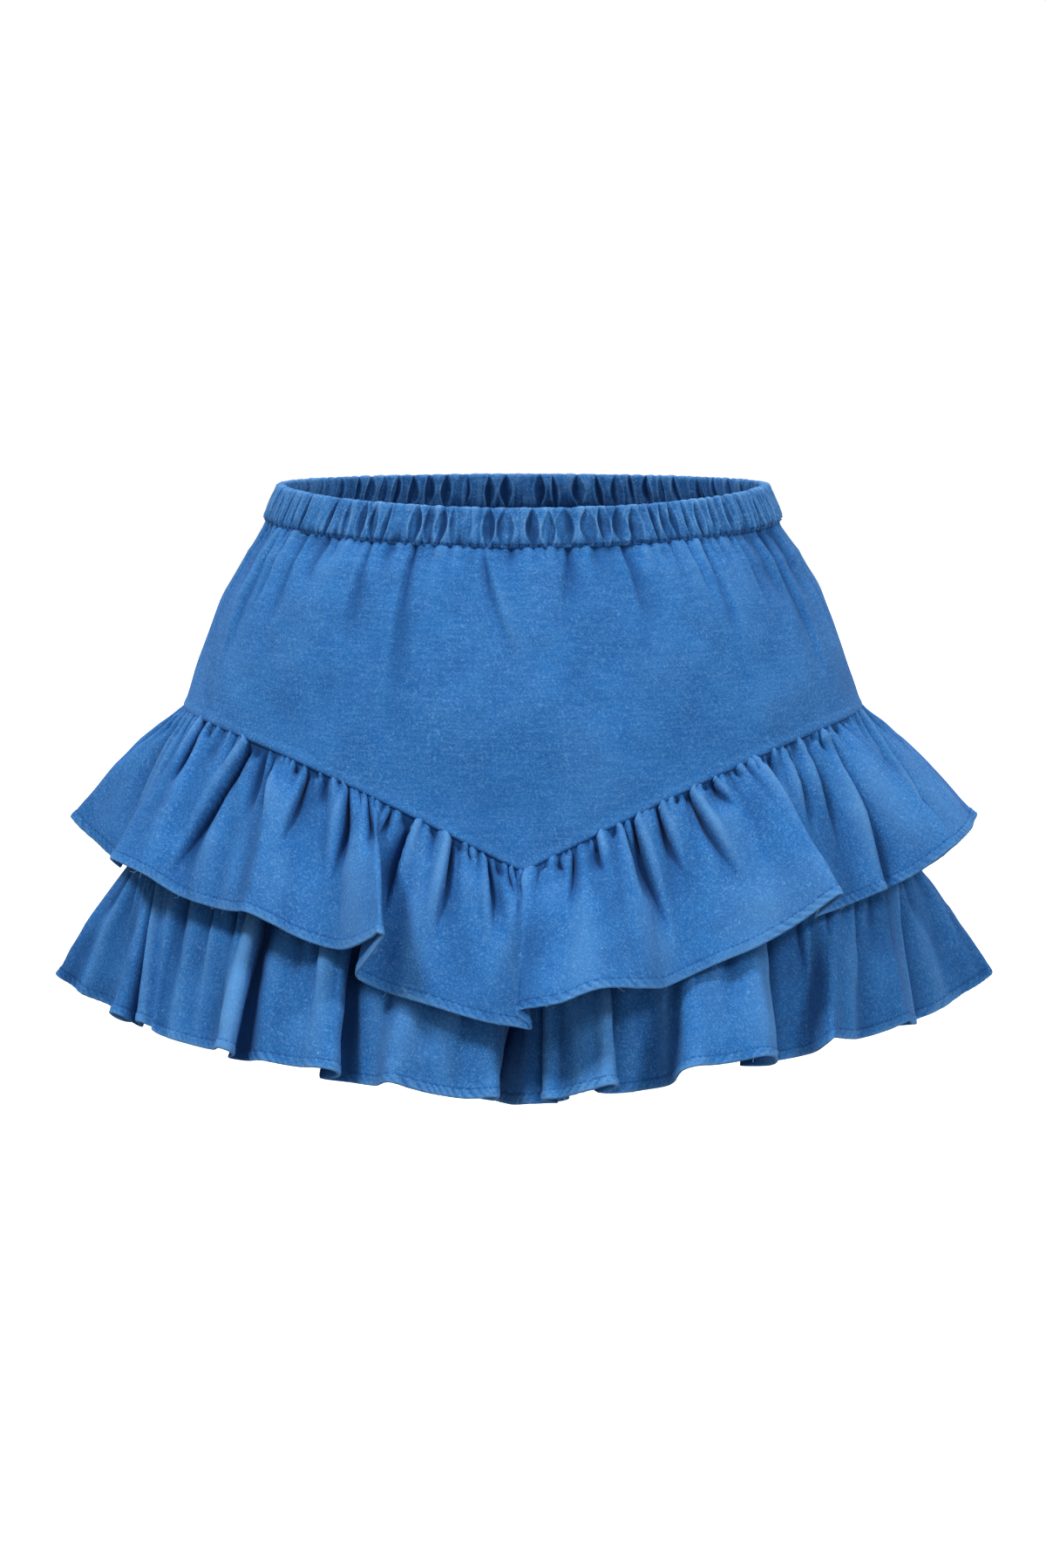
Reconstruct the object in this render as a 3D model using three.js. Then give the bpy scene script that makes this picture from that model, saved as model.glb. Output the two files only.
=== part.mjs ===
import * as THREE from "three";

// A pull-on skort in light denim: gathered waistband, smooth yoke, and a ruffle sewn to the yoke's
// V seam over two short legs that each end in a ruffle of their own. It is shown filled out, as worn.
// Millimetres, +Z up, the front faces -Y, and the origin is on the waist's axis inside the waistband.

// The cloth's wall and the gap left at a seam.
const WALL = 1.2;
const SEAM_GAP = 0.3;

// The filled out body in plan: half width, and depth in front of and behind the side seams.
const SECTIONS = [
  { height: 12, halfWidth: 132.5, front: 97, back: 99 },
  { height: -12, halfWidth: 142, front: 104, back: 107 },
  { height: -25, halfWidth: 151, front: 112, back: 117 },
  { height: -50, halfWidth: 164.5, front: 124, back: 130 },
  { height: -80, halfWidth: 176, front: 135, back: 141 },
  { height: -111, halfWidth: 187, front: 144, back: 150 },
  { height: -150, halfWidth: 199, front: 151, back: 157 },
  { height: -190, halfWidth: 212, front: 158, back: 163 },
  { height: -235, halfWidth: 222, front: 164, back: 168 },
];

// Waistband: its edges at the sides, and how far it dips in front.
const BAND_TOP = 12;
const BAND_BOTTOM = -9;
const BAND_DIP = 8;
const BAND_HALF_THICK = 1.5;
const BAND_RIDGES_A_HALF = 30;
const BAND_RIDGE = 1.7;

// V seam: its height at the side seams and at the two points, and how sharp the V is.
const V_SIDE = -111;
const V_POINT = -179;
const V_POWER = 1.5;

// Yoke: soft folds under the waistband, and how far down they fade.
const YOKE_FOLD_ROUND = 22;
const YOKE_FOLD_HEIGHT = 1.1;
const YOKE_FADE = 42;

// Upper ruffle: the cloth's depth from seam to hem, how early it springs out, and its small gathers,
// one for each row of its table. The leg ruffles' own gathers are hidden under it and left out.
const UPPER_DEPTH = 92.5;
const UPPER_SPRING = 0.36;
const UPPER_OUT = 1.3;
const GATHER_HEIGHT = 1.0;
const GATHER_FADE = 0.45;

// Legs: stations count from 0 at the side seam over 90 at the front centre to 130 at the inseam.
const CENTRE_STATION = 90;
const INSEAM_STATION = 130;
const LEG_SIDE = -188;
const LEG_FRONT = -208;
const LEG_INSEAM = -230;
const LEG_INSIDE = 2.4;
const LEG_HALF_GAP = 8;
const SHORTS_TUCK = 3;
const SHORTS_INSIDE = 2;
const CROTCH_START = 0.25;
const CROTCH_END = 0.85;
const CROTCH_TOP = -184;
const CROTCH_FALL = 38;

// Leg ruffles.
const LEG_DEPTH = 92;
const LEG_SPRING = 0.42;
const BACK_STRETCH = 1.03;

// Upper ruffle, a row for each turn of its hem in front from the wearer's right side to the left:
// the angle at the seam, the angle at the hem, and how far the hem stands out from the body.
// The back repeats the rows, turned half round.
const UPPER_FOLDS = [
  { seam: -86, hem: -90, out: 65 },
  { seam: -80, hem: -86, out: 50 },
  { seam: -75, hem: -78, out: 40 },
  { seam: -71, hem: -70, out: 46 },
  { seam: -68, hem: -65, out: 57 },
  { seam: -62, hem: -58, out: 51 },
  { seam: -54, hem: -53, out: 40 },
  { seam: -47, hem: -44, out: 40 },
  { seam: -42, hem: -38, out: 50 },
  { seam: -38, hem: -34, out: 46 },
  { seam: -34, hem: -30, out: 36 },
  { seam: -29, hem: -24, out: 40 },
  { seam: -25, hem: -18, out: 57 },
  { seam: -23, hem: -16.5, out: 64 },
  { seam: -21.5, hem: -19.5, out: 53 },
  { seam: -19.5, hem: -21.5, out: 42 },
  { seam: -16, hem: -18, out: 38 },
  { seam: -11, hem: -11, out: 41 },
  { seam: -6, hem: -4.5, out: 44 },
  { seam: -2.5, hem: 0.5, out: 50 },
  { seam: 0, hem: 1, out: 60 },
  { seam: 1.5, hem: -1.5, out: 68 },
  { seam: 6, hem: 4.5, out: 62 },
  { seam: 10, hem: 9.5, out: 63 },
  { seam: 14, hem: 14.5, out: 52 },
  { seam: 18, hem: 19, out: 37 },
  { seam: 25, hem: 26, out: 38 },
  { seam: 31, hem: 33, out: 40 },
  { seam: 36, hem: 38.5, out: 61 },
  { seam: 38.5, hem: 41, out: 66 },
  { seam: 41, hem: 40.5, out: 48 },
  { seam: 45, hem: 44, out: 33 },
  { seam: 52, hem: 53, out: 34 },
  { seam: 59, hem: 61, out: 40 },
  { seam: 64, hem: 64.5, out: 58 },
  { seam: 67, hem: 66.5, out: 66 },
  { seam: 69.5, hem: 67.5, out: 54 },
  { seam: 73, hem: 70, out: 40 },
  { seam: 79, hem: 80, out: 46 },
];

// Leg ruffles, a row for each turn of the hem in front from the side seam to the inseam: the
// station at the seam, then the hem's distance from the garment's middle and from the side seams.
const LEFT_LEG_FOLDS = [
  { station: 0, across: 263, forward: 0 },
  { station: 8, across: 246, forward: -14 },
  { station: 14, across: 229, forward: -32 },
  { station: 18, across: 211, forward: -66 },
  { station: 23, across: 206, forward: -106 },
  { station: 28, across: 192, forward: -113 },
  { station: 34, across: 176, forward: -125 },
  { station: 40, across: 160, forward: -150 },
  { station: 44, across: 149, forward: -132 },
  { station: 50, across: 132, forward: -140 },
  { station: 54, across: 124, forward: -154 },
  { station: 57, across: 124, forward: -182 },
  { station: 62, across: 101, forward: -190 },
  { station: 67, across: 80, forward: -194 },
  { station: 70, across: 75, forward: -174 },
  { station: 74, across: 60, forward: -172 },
  { station: 77, across: 49, forward: -184 },
  { station: 80, across: 44, forward: -204 },
  { station: 84, across: 29, forward: -201 },
  { station: 88, across: 13, forward: -192 },
  { station: 95, across: -3, forward: -169 },
  { station: 102, across: -15, forward: -140 },
  { station: 110, across: 24, forward: -108 },
  { station: 119, across: 8, forward: -60 },
];
const RIGHT_LEG_FOLDS = [
  { station: 0, across: 263, forward: 0 },
  { station: 8, across: 245, forward: -14 },
  { station: 13, across: 225, forward: -28 },
  { station: 16, across: 214, forward: -56 },
  { station: 19, across: 220, forward: -96 },
  { station: 25, across: 197, forward: -108 },
  { station: 29, across: 196, forward: -118 },
  { station: 34, across: 186, forward: -123 },
  { station: 42, across: 166, forward: -140 },
  { station: 48, across: 156, forward: -160 },
  { station: 52, across: 146, forward: -162 },
  { station: 56, across: 131, forward: -172 },
  { station: 60, across: 115, forward: -178 },
  { station: 64, across: 98, forward: -187 },
  { station: 67, across: 92, forward: -172 },
  { station: 71, across: 76, forward: -178 },
  { station: 75, across: 67, forward: -197 },
  { station: 79, across: 48, forward: -191 },
  { station: 84, across: 31, forward: -192 },
  { station: 88, across: 15, forward: -196 },
  { station: 95, across: 16, forward: -183 },
  { station: 103, across: 25, forward: -150 },
  { station: 112, across: 14, forward: -100 },
  { station: 121, across: 26, forward: -50 },
];
const INSEAM_FOLD = { station: 130, across: 16, forward: 0 };

// Colours of the cloth: the smooth panels, the gathered band, and what lies in shade.
const CLOTH = 0x3b76b5;
const CLOTH_BAND = 0x35699f;
const CLOTH_SHADE = 0x2f629c;

const radians = (degrees) => (degrees * Math.PI) / 180;
const mix = (a, b, t) => a + (b - a) * t;
const clamp = (value) => Math.min(1, Math.max(0, value));

// A smooth curve through a column of a table.
function spline(a, b, c, d, t) {
  const t2 = t * t;
  const t3 = t2 * t;
  return 0.5 * (2 * b + (c - a) * t + (2 * a - 5 * b + 4 * c - d) * t2 + (3 * b - a - 3 * c + d) * t3);
}

// The body's half width or depth at a height.
function sectionSize(key, height) {
  const last = SECTIONS.length - 1;
  let i = 0;
  while (i < last - 1 && height < SECTIONS[i + 1].height) i += 1;
  const t = (SECTIONS[i].height - height) / (SECTIONS[i].height - SECTIONS[i + 1].height);
  const row = (n) => SECTIONS[Math.min(last, Math.max(0, n))][key];
  return spline(row(i - 1), row(i), row(i + 1), row(i + 2), clamp(t));
}

// A point of the body at an angle from the front, moved outwards along the plan's normal.
function bodyPoint(angle, height, out = 0) {
  const sine = Math.sin(radians(angle));
  const cosine = Math.cos(radians(angle));
  const wide = sectionSize("halfWidth", height);
  const deep = sectionSize(cosine > 0 ? "front" : "back", height);
  const normal = new THREE.Vector2(sine / wide, -cosine / deep).normalize();
  return new THREE.Vector3(wide * sine + out * normal.x, -deep * cosine + out * normal.y, height);
}

// How much the waistband hangs lower at an angle.
const bandDip = (angle) => BAND_DIP * Math.max(0, Math.cos(radians(angle))) ** 1.5;

// The height of the V seam at an angle.
function seamHeight(angle) {
  const across = Math.abs(Math.sin(radians(angle)));
  return V_SIDE + (V_POINT - V_SIDE) * (1 - across) ** V_POWER;
}

// The height of a leg's hem at a station.
function legHeight(station) {
  const s = Math.min(station, 2 * INSEAM_STATION - station);
  if (s <= CENTRE_STATION) {
    return LEG_SIDE + (LEG_FRONT - LEG_SIDE) * (1 - Math.cos(radians(s))) ** V_POWER;
  }
  const inner = (s - CENTRE_STATION) / (INSEAM_STATION - CENTRE_STATION);
  return LEG_FRONT + (LEG_INSEAM - LEG_FRONT) * Math.sin(radians(90 * inner));
}

// A point of the leg's hem before its corner is rounded, on the +X leg.
function legPlan(s, facing, height, inside) {
  const angle = facing < 0 ? 90 - s : 90 + s;
  const p = bodyPoint(angle, height, -inside);
  if (s <= CENTRE_STATION) return new THREE.Vector2(s > 60 ? Math.max(p.x, LEG_HALF_GAP) : p.x, p.y);
  const deep = Math.abs(bodyPoint(facing < 0 ? 0 : 180, LEG_FRONT, -inside).y);
  const inner = (s - CENTRE_STATION) / (INSEAM_STATION - CENTRE_STATION);
  return new THREE.Vector2(LEG_HALF_GAP, facing * deep * (1 - inner));
}

// The leg's hem, round from the side seam over the front, the inseam and the back, on the +X leg.
function legLoop(station) {
  const facing = station <= INSEAM_STATION ? -1 : 1;
  const s = Math.min(station, 2 * INSEAM_STATION - station);
  const height = legHeight(station);
  const from = 81;
  const to = 96;
  let plan = legPlan(s, facing, height, LEG_INSIDE);
  if (s > from && s < to) {
    const t = (s - from) / (to - from);
    const start = legPlan(from, facing, legHeight(from), LEG_INSIDE);
    const corner = new THREE.Vector2(LEG_HALF_GAP, legPlan(88, facing, legHeight(88), LEG_INSIDE).y);
    const end = legPlan(to, facing, legHeight(to), LEG_INSIDE);
    plan = start
      .multiplyScalar((1 - t) ** 2)
      .addScaledVector(corner, 2 * t * (1 - t))
      .addScaledVector(end, t * t);
  }
  return new THREE.Vector3(plan.x, plan.y, height);
}

// Columns of a closed table: a spline through its rows, with the first row again after the last.
function closedColumns(rows, keys, turn, steps) {
  const count = rows.length;
  const value = (n, key) => {
    const wrap = Math.floor(n / count);
    return rows[n - wrap * count][key] + (turn[key] ?? 0) * wrap;
  };
  const columns = [];
  for (let i = 0; i < count; i += 1) {
    for (let k = 0; k < steps; k += 1) {
      const column = { row: i + k / steps };
      for (const key of keys) {
        column[key] = spline(value(i - 1, key), value(i, key), value(i + 1, key), value(i + 2, key), k / steps);
      }
      columns.push(column);
    }
  }
  return columns;
}

// One line of a ruffle from its seam to its hem: it springs out from the seam and then falls straight.
function ruffleLine(seam, hem, depth, spring, levels, gather = new THREE.Vector3()) {
  const flat = Math.hypot(hem.x - seam.x, hem.y - seam.y);
  const drop = Math.sqrt(Math.max(depth * depth - flat * flat, 100));
  const end = new THREE.Vector3(hem.x, hem.y, seam.z - drop);
  const middle = new THREE.Vector3((seam.x + hem.x) / 2, (seam.y + hem.y) / 2, seam.z - spring * drop);
  return levels.map((t) => {
    const fade = clamp(1 - t / GATHER_FADE);
    return seam
      .clone()
      .multiplyScalar((1 - t) ** 2)
      .addScaledVector(middle, 2 * t * (1 - t))
      .addScaledVector(end, t * t)
      .addScaledVector(gather, fade);
  });
}

// The normal of a grid of points at each point; grids that go round are closed in their columns.
function gridNormals(grid, closed) {
  const rows = grid.length;
  const columns = grid[0].length;
  const at = (i, j) => {
    const row = grid[Math.min(rows - 1, Math.max(0, i))];
    return closed ? row[(j + columns) % columns] : row[Math.min(columns - 1, Math.max(0, j))];
  };
  return grid.map((row, i) =>
    row.map((point, j) => {
      const along = at(i, j + 1).clone().sub(at(i, j - 1));
      const down = at(i + 1, j).clone().sub(at(i - 1, j));
      return down.cross(along).normalize();
    }),
  );
}

// Makes the wall's edge level along the given rows, so that pieces meet flat at a seam.
function levelEdges(normals, rows) {
  for (const i of rows) {
    for (const normal of normals[i]) {
      const flat = Math.hypot(normal.x, normal.y);
      const stretch = Math.min(1.4, 1 / Math.max(flat, 0.1));
      normal.set((normal.x / flat) * stretch, (normal.y / flat) * stretch, 0);
    }
  }
  return normals;
}

// Turns a wall's end column square to a seam, so that the wall's end lies in the seam's plane.
function squareEnd(normals, column, rows, axis) {
  for (const i of rows) {
    normals[i][column][axis] = 0;
    normals[i][column].normalize();
  }
}

// Columns first to last of a closed grid, with the two end columns drawn in to leave the seam's gap.
function cutPanel(grid, normals, first, last) {
  const columns = grid[0].length;
  const pick = (row, j) => row[((j % columns) + columns) % columns];
  const points = [];
  const outward = [];
  grid.forEach((row, i) => {
    const line = [];
    for (let j = first; j <= last; j += 1) line.push(pick(row, j).clone());
    const ends = [
      [0, 1],
      [line.length - 1, line.length - 2],
    ];
    for (const [end, next] of ends) {
      const inward = line[next].clone().sub(line[end]).normalize();
      line[end].addScaledVector(inward, SEAM_GAP / 2);
    }
    points.push(line);
    outward.push(line.map((_, n) => pick(normals[i], first + n)));
  });
  return { points, outward };
}

// A closed wall of cloth on both sides of a grid of points.
function clothWall({ points, outward }, wall = WALL) {
  const rows = points.length;
  const columns = points[0].length;
  const positions = [];
  for (const side of [0.5, -0.5]) {
    points.forEach((row, i) =>
      row.forEach((point, j) => {
        const p = point.clone().addScaledVector(outward[i][j], side * wall);
        positions.push(p.x, p.y, p.z);
      }),
    );
  }
  const outer = (i, j) => i * columns + j;
  const inner = (i, j) => rows * columns + i * columns + j;
  const index = [];
  const quad = (a, b, c, d) => index.push(a, b, c, a, c, d);
  for (let i = 0; i < rows - 1; i += 1) {
    for (let j = 0; j < columns - 1; j += 1) {
      quad(outer(i, j), outer(i + 1, j), outer(i + 1, j + 1), outer(i, j + 1));
      quad(inner(i, j), inner(i, j + 1), inner(i + 1, j + 1), inner(i + 1, j));
    }
  }
  for (let j = 0; j < columns - 1; j += 1) {
    quad(outer(0, j), outer(0, j + 1), inner(0, j + 1), inner(0, j));
    quad(outer(rows - 1, j + 1), outer(rows - 1, j), inner(rows - 1, j), inner(rows - 1, j + 1));
  }
  for (let i = 0; i < rows - 1; i += 1) {
    quad(outer(i + 1, 0), outer(i, 0), inner(i, 0), inner(i + 1, 0));
    quad(outer(i, columns - 1), outer(i + 1, columns - 1), inner(i + 1, columns - 1), inner(i, columns - 1));
  }
  return meshGeometry(positions, index);
}

function meshGeometry(positions, index) {
  const geometry = new THREE.BufferGeometry();
  geometry.setAttribute("position", new THREE.Float32BufferAttribute(positions, 3));
  geometry.setIndex(index);
  geometry.computeVertexNormals();
  return geometry;
}

// Waistband casing from one angle to another: a flat tube with a ridge for each gather.
function waistband(fromAngle, toAngle) {
  const columns = 2 * BAND_RIDGES_A_HALF;
  const edge = SEAM_GAP / 2 / sectionSize("front", 0);
  const rings = [];
  for (let j = 0; j <= columns; j += 1) {
    const uneven = j > 0 && j < columns ? 0.22 * Math.sin(j * 2.4) : 0;
    let angle = mix(fromAngle, toAngle, (j + uneven) / columns);
    if (j === 0) angle += (edge * 180) / Math.PI;
    if (j === columns) angle -= (edge * 180) / Math.PI;
    const ridge = j % 2 === 1 ? BAND_RIDGE * (0.85 + 0.15 * Math.sin(j * 1.7)) : 0;
    const profile = [
      [0.6 + 0.35 * ridge, BAND_BOTTOM],
      [BAND_HALF_THICK + 0.9 * ridge, BAND_BOTTOM + 6],
      [BAND_HALF_THICK + ridge, BAND_TOP - 6],
      [0.8 + 0.55 * ridge, BAND_TOP - 1.4],
      [0, BAND_TOP + 0.4 * ridge - 0.3],
      [-0.8 - 0.55 * ridge, BAND_TOP - 1.4],
      [-BAND_HALF_THICK - 0.8 * ridge, BAND_TOP - 9],
      [-0.6 - 0.2 * ridge, BAND_BOTTOM],
    ];
    rings.push(profile.map(([out, height]) => {
      const p = bodyPoint(angle, height, out);
      p.z -= bandDip(angle);
      return p;
    }));
  }
  return tubeGeometry(rings);
}

// A closed body through rings of points, with flat ends.
function tubeGeometry(rings) {
  const size = rings[0].length;
  const positions = rings.flat().flatMap((p) => [p.x, p.y, p.z]);
  const index = [];
  const at = (r, k) => r * size + (k % size);
  for (let r = 0; r < rings.length - 1; r += 1) {
    for (let k = 0; k < size; k += 1) {
      index.push(at(r, k), at(r + 1, k), at(r + 1, k + 1), at(r, k), at(r + 1, k + 1), at(r, k + 1));
    }
  }
  const last = rings.length - 1;
  for (let k = 1; k < size - 1; k += 1) {
    index.push(at(0, 0), at(0, k), at(0, k + 1));
    index.push(at(last, 0), at(last, k + 1), at(last, k));
  }
  return meshGeometry(positions, index);
}

// Yoke: from under the waistband to the V seam, with soft folds that fade out below the band.
function yoke(middleAngle) {
  const columns = 44;
  const levels = [0, 0.1, 0.26, 0.5, 0.76, 1];
  const edge = (SEAM_GAP / 2 / sectionSize("halfWidth", -80)) * (180 / Math.PI);
  const points = levels.map((level) => {
    const row = [];
    for (let j = 0; j <= columns; j += 1) {
      const fraction = j / columns;
      const angle = middleAngle + mix(-90 + edge, 90 - edge, fraction);
      const top = BAND_BOTTOM - SEAM_GAP - bandDip(angle);
      const bottom = seamHeight(angle) + SEAM_GAP / 2;
      const height = mix(top, bottom, level);
      const fade = Math.max(0, 1 - (top - height) / YOKE_FADE) ** 1.5;
      const wave = Math.sin(radians(angle * YOKE_FOLD_ROUND)) + 0.4 * Math.sin(radians(angle * 9 + 40));
      const start = bodyPoint(angle, height + bandDip(angle) * fade, 0);
      const p = bodyPoint(angle, height, 0);
      p.lerp(new THREE.Vector3(start.x, start.y, height), fade);
      const normal = new THREE.Vector2(p.x, p.y).normalize();
      const out = YOKE_FOLD_HEIGHT * wave * fade * (level === 0 ? 0.3 : 1);
      row.push(new THREE.Vector3(p.x + normal.x * out, p.y + normal.y * out, height));
    }
    return row;
  });
  const outward = gridNormals(points, false);
  squareEnd(outward, 0, levels.keys(), "y");
  squareEnd(outward, columns, levels.keys(), "y");
  return clothWall({ points, outward: levelEdges(outward, [0, levels.length - 1]) });
}

// The whole upper ruffle as a closed grid; each piece is cut from it at the side seams.
function upperRuffleGrid() {
  const back = UPPER_FOLDS.map(({ seam, hem, out }) => ({ seam: seam + 180, hem: hem + 180, out }));
  const columns = closedColumns([...UPPER_FOLDS, ...back], ["seam", "hem", "out"], { seam: 360, hem: 360 }, 3);
  const levels = [0, 0.16, 0.42, 0.72, 1];
  const lines = columns.map(({ seam, hem, out }, j) => {
    const start = bodyPoint(seam, seamHeight(seam) - SEAM_GAP / 2, UPPER_OUT);
    const normal = new THREE.Vector3(start.x, start.y, 0).normalize();
    const gather = normal.multiplyScalar(GATHER_HEIGHT * (j % 3 === 1 ? 1 : -0.5));
    return ruffleLine(start, bodyPoint(hem, seamHeight(hem), out), UPPER_DEPTH, UPPER_SPRING, levels, gather);
  });
  return levels.map((_, i) => lines.map((line) => line[i]));
}

// A leg ruffle as a closed grid. The back's folds are the other leg's front folds, turned half round.
function legRuffleGrid(side) {
  const front = side > 0 ? LEFT_LEG_FOLDS : RIGHT_LEG_FOLDS;
  const other = side > 0 ? RIGHT_LEG_FOLDS : LEFT_LEG_FOLDS;
  const back = other
    .slice(1)
    .reverse()
    .map(({ station, across, forward }) => ({
      station: 2 * INSEAM_STATION - station,
      across,
      forward: -forward * BACK_STRETCH,
    }));
  const rows = [...front, INSEAM_FOLD, ...back];
  const turn = { station: 2 * INSEAM_STATION };
  const columns = closedColumns(rows, ["station", "across", "forward"], turn, 3);
  const levels = [0, 0.2, 0.55, 1];
  const lines = columns.map(({ station, across, forward }) => {
    const seam = legLoop((station + 2 * INSEAM_STATION) % (2 * INSEAM_STATION));
    seam.z -= SEAM_GAP / 2;
    return ruffleLine(seam, new THREE.Vector3(across, forward, 0), LEG_DEPTH, LEG_SPRING, levels);
  });
  return levels.map((_, i) => lines.map((line) => line[i]));
}

// Turns a grid of the +X leg into the leg on the given side, keeping its outward face outward.
function placeLeg(grid, side) {
  if (side > 0) return grid.map((row) => [...row].reverse());
  return grid.map((row) => row.map((p) => new THREE.Vector3(-p.x, p.y, p.z)));
}

// How far along the crotch curve a level's row ends, from 0 at the centre seam to 1 at the inseam.
const crotchReach = (level) => clamp((level - CROTCH_START) / (CROTCH_END - CROTCH_START)) ** 1.6;

// A point of a leg panel at a level from the V seam down to the leg's hem.
function shortsPoint(level, station, facing) {
  const round = facing < 0 ? station : 2 * INSEAM_STATION - station;
  const loop = legLoop(round);
  if (station <= CENTRE_STATION) {
    const angle = facing < 0 ? 90 - station : 90 + station;
    const height = mix(seamHeight(angle) + SHORTS_TUCK, loop.z + SEAM_GAP / 2, level);
    const p = bodyPoint(angle, height, -mix(SHORTS_INSIDE, LEG_INSIDE, clamp(level * 3)));
    const bend = clamp((level - CROTCH_START) / (1 - CROTCH_START));
    const straight = Math.max(p.x, SEAM_GAP / 2);
    return new THREE.Vector3(mix(straight, loop.x, bend), mix(p.y, loop.y, bend), height);
  }
  const inner = (station - CENTRE_STATION) / (INSEAM_STATION - CENTRE_STATION);
  const starts = CROTCH_START + (CROTCH_END - CROTCH_START) * inner ** (1 / 1.6);
  const fallen = clamp((level - starts) / (1 - starts));
  const crotch = CROTCH_TOP - CROTCH_FALL * Math.sin(radians(90 * inner ** 0.557));
  const height = mix(crotch, loop.z + SEAM_GAP / 2, fallen);
  return new THREE.Vector3(mix(SEAM_GAP / 2, loop.x, fallen), loop.y, height);
}

// One leg panel, from the side seam round to the centre seam, the crotch and the inseam.
function shortsPanel(side, facing) {
  const columns = 26;
  const levels = [0, 0.2, 0.4, 0.58, 0.74, 0.88, 1];
  const grid = levels.map((level) => {
    const end = CENTRE_STATION + (INSEAM_STATION - CENTRE_STATION) * crotchReach(level);
    const row = [];
    for (let j = 0; j <= columns; j += 1) row.push(shortsPoint(level, (end * j) / columns, facing));
    const inward = row[1].clone().sub(row[0]).normalize();
    row[0].addScaledVector(inward, SEAM_GAP / 2);
    if (crotchReach(level) === 1) row[columns].y += (facing * SEAM_GAP) / 2;
    return row;
  });
  const turned = side * facing > 0 ? grid : grid.map((row) => [...row].reverse());
  const points = turned.map((row) => row.map((p) => new THREE.Vector3(side * p.x, p.y, p.z)));
  const outward = gridNormals(points, false);
  const centre = side * facing > 0 ? columns : 0;
  const all = [...levels.keys()];
  squareEnd(outward, columns - centre, all, "y");
  squareEnd(outward, centre, all.filter((i) => crotchReach(levels[i]) < 1), "x");
  squareEnd(outward, centre, all.filter((i) => crotchReach(levels[i]) === 1), "y");
  return clothWall({ points, outward: levelEdges(outward, [levels.length - 1]) });
}

function clothMesh(name, geometry, colour) {
  const material = new THREE.MeshStandardMaterial({ color: colour, roughness: 0.95, metalness: 0 });
  const mesh = new THREE.Mesh(geometry, material);
  mesh.name = name;
  return mesh;
}

const group = new THREE.Group();
group.add(clothMesh("waistband_left", waistband(0, 180), CLOTH_BAND));
group.add(clothMesh("waistband_right", waistband(180, 360), CLOTH_BAND));
group.add(clothMesh("yoke_front", yoke(0), CLOTH));
group.add(clothMesh("yoke_back", yoke(180), CLOTH));

const upper = upperRuffleGrid();
const upperNormals = levelEdges(gridNormals(upper, true), [0]);
const upperHalf = upper[0].length / 2;
group.add(clothMesh("upper_ruffle_front", clothWall(cutPanel(upper, upperNormals, 0, upperHalf)), CLOTH));
const upperBack = cutPanel(upper, upperNormals, upperHalf, 2 * upperHalf);
group.add(clothMesh("upper_ruffle_back", clothWall(upperBack), CLOTH));

for (const [word, side] of [
  ["left", 1],
  ["right", -1],
]) {
  group.add(clothMesh(`shorts_front_${word}`, shortsPanel(side, -1), CLOTH_SHADE));
  group.add(clothMesh(`shorts_back_${word}`, shortsPanel(side, 1), CLOTH_SHADE));
  const grid = placeLeg(legRuffleGrid(side), side);
  const normals = levelEdges(gridNormals(grid, true), [0]);
  const count = grid[0].length;
  const frontRows = (side > 0 ? LEFT_LEG_FOLDS : RIGHT_LEG_FOLDS).length;
  const inseam = side > 0 ? count - 1 - 3 * frontRows : 3 * frontRows;
  const sideSeam = side > 0 ? count - 1 : 0;
  const front = side > 0 ? [inseam, sideSeam] : [sideSeam, inseam];
  const back = side > 0 ? [sideSeam, inseam + count] : [inseam, sideSeam + count];
  const frontPanel = cutPanel(grid, normals, front[0], front[1]);
  const backPanel = cutPanel(grid, normals, back[0], back[1]);
  group.add(clothMesh(`lower_ruffle_${word}_front`, clothWall(frontPanel), CLOTH_SHADE));
  group.add(clothMesh(`lower_ruffle_${word}_back`, clothWall(backPanel), CLOTH_SHADE));
}

export default group;
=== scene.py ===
import bpy
import math
import numpy as np
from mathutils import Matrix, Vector


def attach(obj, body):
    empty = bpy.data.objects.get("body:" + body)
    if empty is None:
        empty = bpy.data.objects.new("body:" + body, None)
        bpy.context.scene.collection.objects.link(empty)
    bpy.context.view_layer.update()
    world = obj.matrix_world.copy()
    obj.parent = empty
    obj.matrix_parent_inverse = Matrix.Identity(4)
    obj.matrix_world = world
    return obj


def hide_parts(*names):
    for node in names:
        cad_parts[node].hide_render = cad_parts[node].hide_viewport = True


# A ruffled skort in light denim, filled out as worn. Lengths are millimetres, as the garment was
# measured, and become metres when a mesh is made. The front faces -Y.

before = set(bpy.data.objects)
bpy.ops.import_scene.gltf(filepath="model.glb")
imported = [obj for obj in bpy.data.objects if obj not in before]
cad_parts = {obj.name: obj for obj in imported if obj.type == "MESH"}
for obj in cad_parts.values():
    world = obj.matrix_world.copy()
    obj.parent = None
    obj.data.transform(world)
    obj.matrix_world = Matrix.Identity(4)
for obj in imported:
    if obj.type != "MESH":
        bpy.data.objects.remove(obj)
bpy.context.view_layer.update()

MM = 0.001

# The camera stands straight in front of the garment and a little above it. At the garment, a pixel
# of the photograph is 0.484 mm.
CAMERA_DISTANCE = 1900.0
CAMERA_ELEVATION = math.radians(8)
CAMERA_AIM_HEIGHT = -155.0
IMAGE_HEIGHT_PX = 1798
MM_PER_PX = 0.484
FOCAL_PX = CAMERA_DISTANCE / MM_PER_PX
SENSOR_MM = 36.0

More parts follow.
